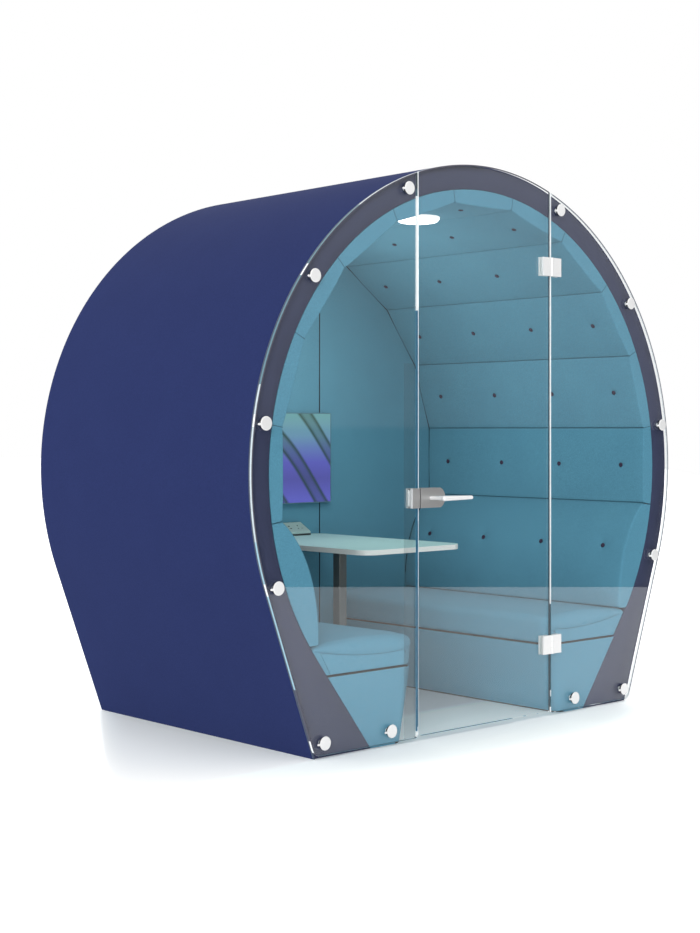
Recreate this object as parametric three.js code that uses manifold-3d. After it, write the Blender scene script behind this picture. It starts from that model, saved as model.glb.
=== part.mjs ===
// Acoustic office pod: a horseshoe tunnel of upholstered panels, closed by a back wall and by a frameless glass front
// with a hinged door. Inside are two benches, a pedestal table, a wall screen, a power unit and a ceiling light.
// Millimetres, +Z up. The front faces -Y and +X is on the right of someone facing it.

import * as THREE from 'three';
import { mergeVertices } from 'three/addons/utils/BufferGeometryUtils.js';
import Module from 'manifold-3d';

const wasm = await Module();
wasm.setup();

const RAD = Math.PI / 180;
const GAP = 0.3;

// Tunnel: every outline is an arc round one centre that runs on into straight legs leaning in from the vertical.
// Depths are measured from the front face of the band, y = 0, into the pod.
const ARCH_CENTRE_Z = 1044;
const ARC_STEPS = 72;
const SHELL_R = 1225;
const SHELL_T = 25;
const SHELL_LIP = 4;
const SHELL_LEAN = 20 * RAD;
const BAND_R = 1130;
const BAND_T = 18;
const BAND_LEAN = 36.7 * RAD;
const BACK_WALL_Y = 1357;
const BACK_PAD_T = 11;
const BACK_JOINT_X = 312;
const BACK_JOINT_GAP = 4;
const DEPTH = 1377;
const RIB_T = 24;

// Lining: flat upholstered panels at a steady pitch, each tufted with a row of buttons
const PANEL_PITCH = 18 * RAD;
const PANELS_EACH_SIDE = 5;
const PANEL_FACE = 1060;
const PANEL_CROWN = 3;
const PANEL_ROUND = 5;
const PANEL_OUT_R = BAND_R - 1.5;
const PANEL_JOINT = 2.4;
const PAD_END_ROUND = 8;
const PAD_END_REACH = 40;
const LINING_BACK = BACK_WALL_Y - 1;
const BUTTON_FIRST_Y = 128;
const BUTTON_PITCH = 364.5;
const BUTTON_COUNT = 4;
const BUTTON_R = 10;
const TUFT_R = 34;
const TUFT_DEPTH = 8;
const TUFT_SIDES = 8;

// Benches
const SEAT_TOP = 410;
const SEAT_CROWN = 14;
const SEAT_BOTTOM = 298;
const SEAT_AISLE_X = 394;
const SEAT_EDGE_R = 26;
const BASE_TOP = 290;
const BASE_AISLE_TOP_X = 400;
const BASE_AISLE_FOOT_X = 456;
const SEAT_CORNER_R = 45;
const BACKREST_BOTTOM = 413;
const BACKREST_FRONT_X = 886;
const BACKREST_BUTTON_T = 0.544;

// Glass front and its standoffs
const GLASS_FRONT_Y = -18;
const GLASS_BACK_Y = -8;
const GLASS_R = 1225;
const GLASS_FOOT_Z = 10;
const GLASS_FOOT_ROUND = 28;
const DOOR_HALF_W = 393;
const DOOR_FOOT_Z = 16;
const DOOR_GAP = 5;
const STANDOFF_R = 1180;
const STANDOFF_ANGLES = [22.5, 52.3, 81.1, 110.1];
const STANDOFF_FEET_X = [886, 546];
const STANDOFF_FEET_Z = 57;
const CAP_R = 26;
const CAP_T = 9;
const NECK_R = 7.5;
const NECK_LENGTH = 5;
const SHANK_R = 6;
const BARREL_R = 10;
const ROUND_SIDES = 14;

// Hinges: clamp leaves on the glass with a knuckle in front of it
const HINGE_Z = [300, 1890];
const HINGE_H = 78;
const HINGE_REACH = 58;
const HINGE_AXIS_X = DOOR_HALF_W + DOOR_GAP / 2;
const HINGE_AXIS_Y = -26;
const KNUCKLE_R = 7.5;
const KNUCKLE_GAP = 0.6;
const PIN_R = 4;
const LEAF_EDGE = 9;
const LEAF_FRONT_T = 10;
const LEAF_BACK_T = 7.5;
const BOSS_R = 6;
const HOLE_CLEARANCE = 0.8;

// Lock on the door's free edge
const LOCK_Z = 939;
const LOCK_H = 77;
const LOCK_END_X = -258;
const LOCK_END_R = 42;
const LOCK_PLATE_T = 14;
const LOCK_CORE_H = 62;
const LOCK_CORE_END_X = -300;
const STRIKE_W = 40;
const SPINDLE_X = -338;
const SPINDLE_R = 4.5;
const BOLT_W = 9;
const BOLT_H = 17;
const BOLT_TIP_X = -406;
const BOLT_TAIL_X = -360;
const BOLT_THROW = 11;
const LEVER_REACH = 75;
const LEVER_END_X = -180;
const LEVER_R = 9;
const LEVER_BEND = 20;

// Table
const TABLE_HALF_W = 295;
const TABLE_FRONT_Y = 384;
const TABLE_BACK_Y = 1352;
const TABLE_TOP_Z = 707;
const TABLE_T = 22;
const TABLE_CORNER_R = 70;
const COLUMN_W = 45;
const COLUMN_WALL = 3;
const FLANGE_W = 180;
const FLANGE_T = 6;
const FOOT_W = 400;
const FOOT_T = 8;

// Power unit, screen and light
const POWER_HALF_W = 178;
const POWER_DEPTH = 82;
const POWER_FRONT_H = 18;
const POWER_BACK_H = 58;
const POWER_TOP_FLAT = 8;
const SCREEN_W = 722;
const SCREEN_H = 431;
const SCREEN_Z = 1070;
const SCREEN_T = 28;
const BEZEL_W = 4;
const DISPLAY_T = 3;
const LAMP_Y = 376;
const LAMP_R = 92;
const LAMP_H = 12;
const DIFFUSER_R = 86;
const DIFFUSER_DROP = 10;

const LEVER_FRONT_Y = GLASS_FRONT_Y - LOCK_PLATE_T - LEVER_REACH - LEVER_R;

// Materials

const finish = (color, roughness, metalness = 0) => new THREE.MeshStandardMaterial({ color, roughness, metalness });

const navyFabric = finish(0x303a6e, 0.9);
const plumBoard = finish(0x504e64, 0.7);
const tealFabric = finish(0x6496b4, 0.95);
const plywood = finish(0xc8a878, 0.8);
const clearGlass = new THREE.MeshStandardMaterial({
  color: 0xd8ecf0, roughness: 0.05, metalness: 0, transparent: true, opacity: 0.3,
});
const polishedSteel = finish(0xe6e8ea, 0.15, 1);
const satinSteel = finish(0xa5a5a5, 0.35, 1);
const whiteLaminate = finish(0xdfe6e4, 0.45);
const columnSteel = finish(0x6e6a66, 0.4, 1);
const whitePlastic = finish(0xd8dcd8, 0.5);
const casingPlastic = finish(0x4e7480, 0.45);
const displayGlass = finish(0x4b4c9a, 0.2);
const lampOpal = new THREE.MeshStandardMaterial({ color: 0xffffff, roughness: 0.5, emissive: 0xffffff });

// Solid operations

function weld(geometry) {
  const bare = geometry.clone();
  for (const name of Object.keys(bare.attributes)) {
    if (name !== 'position') {
      bare.deleteAttribute(name);
    }
  }
  return mergeVertices(bare, 1e-4);
}

function flipped(geometry) {
  const order = geometry.index.array;
  for (let i = 0; i < order.length; i += 3) {
    const first = order[i];
    order[i] = order[i + 1];
    order[i + 1] = first;
  }
  return geometry;
}

function signedVolume(geometry) {
  const corner = [new THREE.Vector3(), new THREE.Vector3(), new THREE.Vector3()];
  const { position } = geometry.attributes;
  const order = geometry.index.array;
  let volume = 0;
  for (let i = 0; i < order.length; i += 3) {
    corner.forEach((point, k) => point.fromBufferAttribute(position, order[i + k]));
    volume += corner[0].dot(corner[1].cross(corner[2])) / 6;
  }
  return volume;
}

function facingOut(geometry) {
  const welded = weld(geometry);
  return signedVolume(welded) < 0 ? flipped(welded) : welded;
}

function mirrored(geometry) {
  return flipped(weld(geometry).scale(-1, 1, 1));
}

function solidOf(geometry) {
  const welded = facingOut(geometry);
  return new wasm.Manifold(new wasm.Mesh({
    numProp: 3,
    vertProperties: Float32Array.from(welded.attributes.position.array),
    triVerts: Uint32Array.from(welded.index.array),
  }));
}

function geometryOf(solid) {
  const mesh = solid.getMesh();
  const geometry = new THREE.BufferGeometry();
  geometry.setAttribute('position', new THREE.BufferAttribute(mesh.vertProperties, 3));
  geometry.setIndex(new THREE.BufferAttribute(mesh.triVerts, 1));
  return geometry;
}

function join(base, ...others) {
  return geometryOf(others.reduce((sum, other) => sum.add(solidOf(other)), solidOf(base)));
}

function cut(base, ...tools) {
  return geometryOf(tools.reduce((rest, tool) => rest.subtract(solidOf(tool)), solidOf(base)));
}

function common(base, other) {
  return geometryOf(solidOf(base).intersect(solidOf(other)));
}

// Shapes

const flat = (x, z) => new THREE.Vector2(x, z);

// A box between two corners
function block([x0, x1], [y0, y1], [z0, z1]) {
  const geometry = new THREE.BoxGeometry(x1 - x0, y1 - y0, z1 - z0);
  return geometry.translate((x0 + x1) / 2, (y0 + y1) / 2, (z0 + z1) / 2);
}

// An outline drawn in x and z, extruded from one depth to another
function plate(shape, yFront, yBack, curveSegments = 12) {
  const geometry = new THREE.ExtrudeGeometry(shape, { depth: yBack - yFront, bevelEnabled: false, curveSegments });
  return geometry.rotateX(Math.PI / 2).translate(0, yBack, 0);
}

// An outline drawn in x and y, extruded upwards
function slab(shape, zLow, zHigh, curveSegments = 6) {
  const geometry = new THREE.ExtrudeGeometry(shape, { depth: zHigh - zLow, bevelEnabled: false, curveSegments });
  return geometry.translate(0, 0, zLow);
}

// A round bar along y, or along z
function roundBar(radius, yFront, yBack, x = 0, z = 0) {
  const bar = new THREE.CylinderGeometry(radius, radius, yBack - yFront, ROUND_SIDES);
  return bar.translate(x, (yFront + yBack) / 2, z);
}

function uprightBar(radius, zLow, zHigh, x, y) {
  const bar = new THREE.CylinderGeometry(radius, radius, zHigh - zLow, ROUND_SIDES);
  return bar.rotateX(Math.PI / 2).translate(x, y, (zLow + zHigh) / 2);
}

// A profile of [radius, height] pairs turned round z
function turned(profile, sides) {
  const points = profile.map(([radius, height]) => flat(radius, height));
  return facingOut(new THREE.LatheGeometry(points, sides).rotateX(Math.PI / 2));
}

// A rectangle with round corners
function roundedRectangle([x0, x1], [y0, y1], radius) {
  const shape = new THREE.Shape();
  shape.moveTo(x0 + radius, y0);
  shape.lineTo(x1 - radius, y0);
  shape.absarc(x1 - radius, y0 + radius, radius, -Math.PI / 2, 0);
  shape.lineTo(x1, y1 - radius);
  shape.absarc(x1 - radius, y1 - radius, radius, 0, Math.PI / 2);
  shape.lineTo(x0 + radius, y1);
  shape.absarc(x0 + radius, y1 - radius, radius, Math.PI / 2, Math.PI);
  shape.lineTo(x0, y0 + radius);
  shape.absarc(x0 + radius, y0 + radius, radius, Math.PI, 1.5 * Math.PI);
  return shape;
}

// Where the straight leg of an arch outline stands at a given height
function legX(radius, lean, z) {
  const tangentZ = ARCH_CENTRE_Z - radius * Math.sin(lean);
  return radius * Math.cos(lean) - (tangentZ - z) * Math.tan(lean);
}

// The arch outline from the right foot over the top to the left foot
function archPoints(radius, lean, footZ = 0) {
  const footX = legX(radius, lean, footZ);
  const points = [flat(footX, footZ)];
  for (let i = 0; i <= ARC_STEPS; i += 1) {
    const angle = -lean + (Math.PI + 2 * lean) * i / ARC_STEPS;
    points.push(flat(radius * Math.cos(angle), ARCH_CENTRE_Z + radius * Math.sin(angle)));
  }
  points.push(flat(-footX, footZ));
  return points;
}

const arch = (...outline) => new THREE.Shape(archPoints(...outline));

const hoop = (outer, inner) => new THREE.Shape([...outer, ...inner.reverse()]);

// A closed skin over rings of points that follow one another along y, each ring anticlockwise seen from the front
function loft(rings) {
  const count = rings[0].length;
  const last = (rings.length - 1) * count;
  const order = [];
  for (let ring = 0; ring < rings.length - 1; ring += 1) {
    for (let i = 0; i < count; i += 1) {
      const here = ring * count + i;
      const next = ring * count + (i + 1) % count;
      order.push(here, here + count, next);
      order.push(next, here + count, next + count);
    }
  }
  const ends = rings[0].map((point) => flat(point.x, point.z));
  for (const [a, b, c] of THREE.ShapeUtils.triangulateShape(ends, [])) {
    order.push(a, b, c);
    order.push(last + a, last + c, last + b);
  }
  const geometry = new THREE.BufferGeometry();
  geometry.setAttribute('position', new THREE.Float32BufferAttribute(rings.flat().flatMap((p) => p.toArray()), 3));
  geometry.setIndex(order);
  return facingOut(geometry);
}

// Assembly

const pod = new THREE.Group();
pod.position.y = -(LEVER_FRONT_Y + DEPTH) / 2;

function add(name, geometry, material, parent = pod) {
  const mesh = new THREE.Mesh(geometry, material);
  mesh.name = name;
  parent.add(mesh);
  return mesh;
}

// Outer shell: a curved board with thin lips that wrap round the band in front and round the back wall

function buildShell() {
  const skin = hoop(archPoints(SHELL_R, SHELL_LEAN), archPoints(SHELL_R - SHELL_T, SHELL_LEAN));
  const insideLip = arch(SHELL_R - SHELL_LIP, SHELL_LEAN, -1);
  const frontRebate = plate(insideLip, -1, BAND_T + GAP);
  const rearRebate = plate(insideLip, BACK_WALL_Y - GAP, DEPTH + 1);
  add('outer_shell', cut(plate(skin, 0, DEPTH), frontRebate, rearRebate), navyFabric);
}

function buildBand() {
  const board = hoop(archPoints(SHELL_R - SHELL_LIP - GAP, SHELL_LEAN), archPoints(BAND_R, BAND_LEAN));
  add('front_band', plate(board, 0, BAND_T), plumBoard);
}

// Plywood hoops between shell and lining
function buildRibs() {
  const ribFoot = 2;
  const outer = SHELL_R - SHELL_T - 1.2;
  const inner = BAND_R + 1.5;
  const ribFrontY = { front_rib: BAND_T + 2 * GAP, rear_rib: LINING_BACK - RIB_T };
  for (const [name, y] of Object.entries(ribFrontY)) {
    const ring = hoop(archPoints(outer, SHELL_LEAN, ribFoot), archPoints(inner, SHELL_LEAN, ribFoot));
    add(name, plate(ring, y, y + RIB_T), plywood);
  }
}

// Back wall: three upholstered boards side by side, and one cover over them outside
function buildBackWall() {
  const outline = arch(SHELL_R - SHELL_LIP - GAP, SHELL_LEAN);
  const padBack = BACK_WALL_Y + BACK_PAD_T;
  const wall = plate(outline, BACK_WALL_Y, padBack);
  const inner = BACK_JOINT_X - BACK_JOINT_GAP / 2;
  const outer = BACK_JOINT_X + BACK_JOINT_GAP / 2;
  const spans = {
    back_wall_left: [-SHELL_R, -outer],
    back_wall_centre: [-inner, inner],
    back_wall_right: [outer, SHELL_R],
  };
  const tall = [-1, ARCH_CENTRE_Z + SHELL_R];
  for (const [name, span] of Object.entries(spans)) {
    add(name, common(wall, block(span, [BACK_WALL_Y - 1, padBack + 1], tall)), tealFabric);
  }
  add('rear_cover', plate(outline, padBack + GAP, DEPTH), navyFabric);
}

// Tufts: a shallow cone pressed into the pad, and the button that holds it down, both along +z into the pad

function tuftHollow() {
  const profile = [[0, -4], [TUFT_R, -4], [BUTTON_R - 1, TUFT_DEPTH], [0, TUFT_DEPTH]];
  return turned(profile, TUFT_SIDES);
}

function tuftButton() {
  const crown = 2.5;
  const shoulder = 5;
  const root = TUFT_DEPTH + 1.5;
  const profile = [[0, crown], [BUTTON_R, shoulder], [BUTTON_R, root], [0, root]];
  return turned(profile, TUFT_SIDES);
}

function tufted(pad, place) {
  const hollows = [];
  const buttons = [];
  for (let i = 0; i < BUTTON_COUNT; i += 1) {
    const y = BUTTON_FIRST_Y + i * BUTTON_PITCH;
    hollows.push(place(tuftHollow(), y));
    buttons.push(place(tuftButton(), y));
  }
  return join(cut(pad, ...hollows), ...buttons);
}

// How far a pad's face is drawn in near its two ends
function endDraw(y, length) {
  const fromEnd = Math.min(y, length - y, PAD_END_REACH);
  return PAD_END_ROUND * (1 - fromEnd / PAD_END_REACH) ** 4;
}

const padStations = [0, 4, 12, PAD_END_REACH, LINING_BACK - PAD_END_REACH, LINING_BACK - 12, LINING_BACK - 4, LINING_BACK];

// One lining panel at the top of the arch, drawn about the arch's centre
function liningPanel() {
  const across = [-1, -0.94, -0.8, -0.45, 0, 0.45, 0.8, 0.94, 1];
  const sideX = (z) => z * Math.tan(PANEL_PITCH / 2) - PANEL_JOINT / 2;
  const arcSteps = 4;
  const arcHalf = PANEL_PITCH / 2 - PANEL_JOINT / 2 / PANEL_OUT_R;
  const rings = padStations.map((y) => {
    const ring = across.map((u) => {
      const z = PANEL_FACE + PANEL_CROWN * u ** 2 + PANEL_ROUND * u ** 10 + endDraw(y, LINING_BACK);
      return new THREE.Vector3(u * sideX(z), y, z);
    });
    for (let i = 0; i <= arcSteps; i += 1) {
      const angle = arcHalf * (1 - 2 * i / arcSteps);
      ring.push(new THREE.Vector3(PANEL_OUT_R * Math.sin(angle), y, PANEL_OUT_R * Math.cos(angle)));
    }
    return ring;
  });
  return tufted(loft(rings), (tool, y) => tool.translate(0, y, PANEL_FACE));
}

function buildLining() {
  const geometry = liningPanel();
  for (let k = -PANELS_EACH_SIDE; k <= PANELS_EACH_SIDE; k += 1) {
    const number = String(k + PANELS_EACH_SIDE + 1).padStart(2, '0');
    const panel = add(`lining_panel_${number}`, geometry, tealFabric);
    panel.position.z = ARCH_CENTRE_Z;
    panel.rotation.y = k * PANEL_PITCH;
  }
}

// Backrest: the lowest lining pad, bulging out over the seat

const backrestFace = new THREE.CubicBezierCurve(
  flat(1064, 876),
  flat(960, 800),
  flat(BACKREST_FRONT_X, 640),
  flat(BACKREST_FRONT_X, 440),
);

function backrestPad() {
  const faceSteps = 8;
  const arcSteps = 5;
  const topAngle = (PANELS_EACH_SIDE + 0.5) * PANEL_PITCH + PANEL_JOINT / PANEL_OUT_R;
  const bottomAngle = Math.acos((BACKREST_BOTTOM - ARCH_CENTRE_Z) / PANEL_OUT_R);
  const faceTop = backrestFace.getPoint(0);
  const drop = PANEL_JOINT;
  const rings = padStations.map((y) => {
    const draw = endDraw(y, LINING_BACK);
    const ring = [new THREE.Vector3(BACKREST_FRONT_X + 20 + draw, y, BACKREST_BOTTOM)];
    for (let i = 0; i <= arcSteps; i += 1) {
      const angle = bottomAngle + (topAngle - bottomAngle) * i / arcSteps;
      const x = PANEL_OUT_R * Math.sin(angle);
      ring.push(new THREE.Vector3(x, y, ARCH_CENTRE_Z + PANEL_OUT_R * Math.cos(angle)));
    }
    ring.push(new THREE.Vector3(faceTop.x + 0.5 * draw, y, faceTop.y - drop));
    for (let i = 1; i <= faceSteps; i += 1) {
      const point = backrestFace.getPoint(i / faceSteps);
      ring.push(new THREE.Vector3(point.x + draw, y, point.y));
    }
    ring.push(new THREE.Vector3(BACKREST_FRONT_X + 5 + draw, y, BACKREST_BOTTOM + 9));
    return ring;
  });
  const button = backrestFace.getPoint(BACKREST_BUTTON_T);
  const along = backrestFace.getTangent(BACKREST_BUTTON_T);
  const turn = Math.atan2(-along.y, along.x);
  return tufted(loft(rings), (tool, y) => tool.rotateY(turn).translate(button.x, y, button.y));
}

// The plan corner of a bench at its front end
function cornerInset(y) {
  const inside = Math.max(SEAT_CORNER_R - y, 0);
  return SEAT_CORNER_R - Math.sqrt(SEAT_CORNER_R ** 2 - inside ** 2);
}

const benchStations = [0, 2, 6, 13, 26, SEAT_CORNER_R, 110, LINING_BACK - 20, LINING_BACK];

function seatCushion() {
  const topSteps = 8;
  const edgeSteps = 3;
  const clear = 3;
  const outerX = (z) => legX(BAND_R, BAND_LEAN, z) - clear;
  const arcTopZ = ARCH_CENTRE_Z - BAND_R * Math.sin(BAND_LEAN);
  const arcX = (z) => Math.sqrt(BAND_R ** 2 - (z - ARCH_CENTRE_Z) ** 2) - 2 * clear;
  const crownBack = BACKREST_FRONT_X - 10;
  const rings = benchStations.map((y) => {
    const inset = cornerInset(y);
    const draw = 0.25 * inset;
    const aisle = SEAT_AISLE_X + inset;
    const ring = [
      new THREE.Vector3(aisle + 8, y, SEAT_BOTTOM),
      new THREE.Vector3(outerX(SEAT_BOTTOM), y, SEAT_BOTTOM),
      new THREE.Vector3(outerX(arcTopZ), y, arcTopZ),
      new THREE.Vector3(arcX(SEAT_TOP - draw), y, SEAT_TOP - draw),
    ];
    const crownFront = aisle + SEAT_EDGE_R;
    for (let i = 0; i <= topSteps; i += 1) {
      const s = i / topSteps;
      const rise = SEAT_CROWN * (1 - (2 * s - 1) ** 2) - draw;
      ring.push(new THREE.Vector3(crownBack + (crownFront - crownBack) * s, y, SEAT_TOP + rise));
    }
    for (let i = 1; i <= edgeSteps; i += 1) {
      const angle = Math.PI / 2 * i / edgeSteps;
      const x = crownFront - SEAT_EDGE_R * Math.sin(angle);
      ring.push(new THREE.Vector3(x, y, SEAT_TOP - draw - SEAT_EDGE_R * (1 - Math.cos(angle))));
    }
    return ring;
  });
  return loft(rings);
}

function seatBase() {
  const ribInner = BAND_R + 1.5;
  const outerX = (z) => legX(ribInner, SHELL_LEAN, z) - 3;
  const rings = benchStations.map((y) => {
    const inset = cornerInset(y);
    return [
      new THREE.Vector3(BASE_AISLE_FOOT_X + inset, y, 0),
      new THREE.Vector3(outerX(0), y, 0),
      new THREE.Vector3(outerX(BASE_TOP), y, BASE_TOP),
      new THREE.Vector3(BASE_AISLE_TOP_X + inset, y, BASE_TOP),
    ];
  });
  const bandRebate = hoop(archPoints(SHELL_R + 50, SHELL_LEAN, -1), archPoints(BAND_R - 0.6, BAND_LEAN, -1));
  return cut(loft(rings), plate(bandRebate, -1, BAND_T + GAP));
}

function buildBenches() {
  const pieces = { backrest: backrestPad(), seat_cushion: seatCushion(), seat_base: seatBase() };
  for (const [name, geometry] of Object.entries(pieces)) {
    add(`${name}_right`, geometry, tealFabric);
    add(`${name}_left`, mirrored(geometry), tealFabric);
  }
}

// Glass front

const hingeSides = { fixed: 1, door: -1 };
const bossZ = [-HINGE_H / 4, HINGE_H / 4];
const bossX = (side) => HINGE_AXIS_X + side * (LEAF_EDGE + HINGE_REACH) / 2;

// Holes through the sheets for the standoffs' shanks and the hinges' bosses, and the notch for the lock
function glassCutters() {
  const through = (radius, x, z) => roundBar(radius + HOLE_CLEARANCE, GLASS_FRONT_Y - 1, GLASS_BACK_Y + 1, x, z);
  const cutters = standoffPlaces().map(({ x, z }) => through(SHANK_R, x, z));
  for (const z of HINGE_Z) {
    for (const side of Object.values(hingeSides)) {
      bossZ.forEach((offset) => cutters.push(through(BOSS_R, bossX(side), z + offset)));
    }
  }
  const notchX = [strikeLeft + GAP - HOLE_CLEARANCE, LOCK_CORE_END_X + HOLE_CLEARANCE];
  const notchZ = [LOCK_Z - LOCK_CORE_H / 2 - HOLE_CLEARANCE, LOCK_Z + LOCK_CORE_H / 2 + HOLE_CLEARANCE];
  cutters.push(block(notchX, [GLASS_FRONT_Y - 1, GLASS_BACK_Y + 1], notchZ));
  return cutters;
}

// The whole glass outline, with its outer bottom corners rounded off
function glassOutline() {
  const points = archPoints(GLASS_R, SHELL_LEAN, GLASS_FOOT_Z);
  const foot = points[0];
  const up = flat(Math.sin(SHELL_LEAN), Math.cos(SHELL_LEAN)).multiplyScalar(GLASS_FOOT_ROUND);
  const floorward = flat(foot.x - GLASS_FOOT_ROUND, foot.y);
  const corner = new THREE.QuadraticBezierCurve(floorward, foot, foot.clone().add(up)).getPoints(5);
  const opposite = corner.map((p) => flat(-p.x, p.y)).reverse();
  return new THREE.Shape([...corner, ...points.slice(1, -1), ...opposite]);
}

function buildGlass() {
  const sheet = cut(plate(glassOutline(), GLASS_FRONT_Y, GLASS_BACK_Y), ...glassCutters());
  const fixedEdge = DOOR_HALF_W + DOOR_GAP;
  const across = [GLASS_FRONT_Y - 1, GLASS_BACK_Y + 1];
  const top = ARCH_CENTRE_Z + SHELL_R;
  const spans = {
    glass_left: [[-SHELL_R, -fixedEdge], [0, top]],
    glass_door: [[-DOOR_HALF_W, DOOR_HALF_W], [DOOR_FOOT_Z, top]],
    glass_right: [[fixedEdge, SHELL_R], [0, top]],
  };
  for (const [name, [spanX, spanZ]] of Object.entries(spans)) {
    add(name, common(sheet, block(spanX, across, spanZ)), clearGlass);
  }
}

// Standoffs: cap, shank and barrel in one turned piece; eight round the arch and two at each foot

function standoffPlaces() {
  const places = [];
  for (const [side, sign] of [['left', -1], ['right', 1]]) {
    STANDOFF_ANGLES.forEach((degrees, i) => {
      const angle = degrees * RAD;
      const x = sign * STANDOFF_R * Math.sin(angle);
      places.push({ name: `standoff_${side}_${i + 1}`, x, z: ARCH_CENTRE_Z + STANDOFF_R * Math.cos(angle) });
    });
    STANDOFF_FEET_X.forEach((x, i) => {
      places.push({ name: `standoff_${side}_${STANDOFF_ANGLES.length + i + 1}`, x: sign * x, z: STANDOFF_FEET_Z });
    });
  }
  return places;
}

function buildStandoffs() {
  const neckBack = GLASS_FRONT_Y - GAP;
  const capBack = neckBack - NECK_LENGTH;
  const capFront = capBack - CAP_T;
  const barrelFront = GLASS_BACK_Y + GAP;
  const chamfer = 2;
  const profile = [
    [0, capFront],
    [CAP_R - chamfer, capFront],
    [CAP_R, capFront + chamfer],
    [CAP_R, capBack],
    [NECK_R, capBack],
    [NECK_R, neckBack],
    [SHANK_R, neckBack],
    [SHANK_R, barrelFront],
    [BARREL_R, barrelFront],
    [BARREL_R, -GAP],
    [0, -GAP],
  ].map(([radius, y]) => flat(radius, y));
  const geometry = facingOut(new THREE.LatheGeometry(profile, ROUND_SIDES));
  for (const { name, x, z } of standoffPlaces()) {
    add(name, geometry, polishedSteel).position.set(x, 0, z);
  }
}

// Hinges, drawn about the knuckle's axis at mid height

function hingeLeaf(side, knuckles) {
  const spanX = side > 0 ? [LEAF_EDGE, HINGE_REACH] : [-HINGE_REACH, -LEAF_EDGE];
  const spanZ = [-HINGE_H / 2, HINGE_H / 2];
  const frontY = [GLASS_FRONT_Y - GAP - LEAF_FRONT_T, GLASS_FRONT_Y - GAP].map((y) => y - HINGE_AXIS_Y);
  const backY = [GLASS_BACK_Y + GAP, GLASS_BACK_Y + GAP + LEAF_BACK_T].map((y) => y - HINGE_AXIS_Y);
  const pieces = [block(spanX, backY, spanZ)];
  for (const z of bossZ) {
    pieces.push(roundBar(BOSS_R, frontY[1] - 1, backY[0] + 1, bossX(side) - HINGE_AXIS_X, z));
  }
  const bore = uprightBar(PIN_R + 0.5, -HINGE_H, HINGE_H, 0, 0);
  for (const [low, high] of knuckles) {
    const web = side > 0 ? [0, LEAF_EDGE + 1] : [-LEAF_EDGE - 1, 0];
    pieces.push(uprightBar(KNUCKLE_R, low, high, 0, 0));
    pieces.push(block(web, [frontY[0] + 1, 4], [low, high]));
  }
  return cut(join(block(spanX, frontY, spanZ), ...pieces), bore);
}

function buildHinges() {
  const third = HINGE_H / 6;
  const end = HINGE_H / 2;
  const outerKnuckles = [[-end, -third - KNUCKLE_GAP], [third + KNUCKLE_GAP, end]];
  const leaves = {
    fixed_leaf: hingeLeaf(hingeSides.fixed, outerKnuckles),
    door_leaf: hingeLeaf(hingeSides.door, [[-third, third]]),
    pin: uprightBar(PIN_R, -end, end, 0, 0),
  };
  ['lower', 'upper'].forEach((level, i) => {
    const hinge = new THREE.Group();
    hinge.position.set(HINGE_AXIS_X, HINGE_AXIS_Y, HINGE_Z[i]);
    pod.add(hinge);
    for (const [piece, geometry] of Object.entries(leaves)) {
      add(`hinge_${level}_${piece}`, geometry, polishedSteel, hinge);
    }
  });
}

// Lock: a case clamped in a notch of the door's edge, and the strike box facing it on the fixed sheet

const caseLeft = -DOOR_HALF_W + GAP;
const strikeRight = -DOOR_HALF_W - DOOR_GAP - GAP;
const strikeLeft = strikeRight - STRIKE_W;
const plateFront = [GLASS_FRONT_Y - LOCK_PLATE_T, GLASS_FRONT_Y - GAP];
const plateBack = [GLASS_BACK_Y + GAP, GLASS_BACK_Y + LOCK_PLATE_T];
const boltY = (GLASS_FRONT_Y + GLASS_BACK_Y) / 2;
const clearBolt = [
  [boltY - BOLT_W / 2 - GAP, boltY + BOLT_W / 2 + GAP],
  [LOCK_Z - BOLT_H / 2 - GAP, LOCK_Z + BOLT_H / 2 + GAP],
];

function lockOutline() {
  const half = LOCK_H / 2;
  const spread = Math.asin(half / LOCK_END_R);
  const shape = new THREE.Shape();
  shape.moveTo(caseLeft, LOCK_Z - half);
  shape.lineTo(LOCK_END_X - LOCK_END_R + LOCK_END_R * Math.cos(spread), LOCK_Z - half);
  shape.absarc(LOCK_END_X - LOCK_END_R, LOCK_Z, LOCK_END_R, -spread, spread);
  shape.lineTo(caseLeft, LOCK_Z + half);
  return shape;
}

function buildLock() {
  const core = [LOCK_Z - LOCK_CORE_H / 2, LOCK_Z + LOCK_CORE_H / 2];
  const inGlass = [plateFront[1] - 1, plateBack[0] + 1];
  const arcSteps = 5;
  const caseBody = join(
    plate(lockOutline(), ...plateFront, arcSteps),
    plate(lockOutline(), ...plateBack, arcSteps),
    block([caseLeft, LOCK_CORE_END_X], inGlass, core),
  );
  const channel = block([caseLeft - 1, SPINDLE_X], ...clearBolt);
  const bore = roundBar(SPINDLE_R + 1, plateFront[0] - 1, plateBack[1] + 1, SPINDLE_X, LOCK_Z);
  add('lock_case', cut(caseBody, channel, bore), satinSteel);

  const strikeZ = [LOCK_Z - LOCK_H / 2, LOCK_Z + LOCK_H / 2];
  const strikeBody = join(
    block([strikeLeft, strikeRight], plateFront, strikeZ),
    block([strikeLeft, strikeRight], plateBack, strikeZ),
    block([strikeLeft + 2 * GAP, strikeRight], inGlass, core),
  );
  const pocket = block([BOLT_TIP_X - 4, strikeRight + 1], ...clearBolt);
  add('strike_box', cut(strikeBody, pocket), satinSteel);
}

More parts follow.
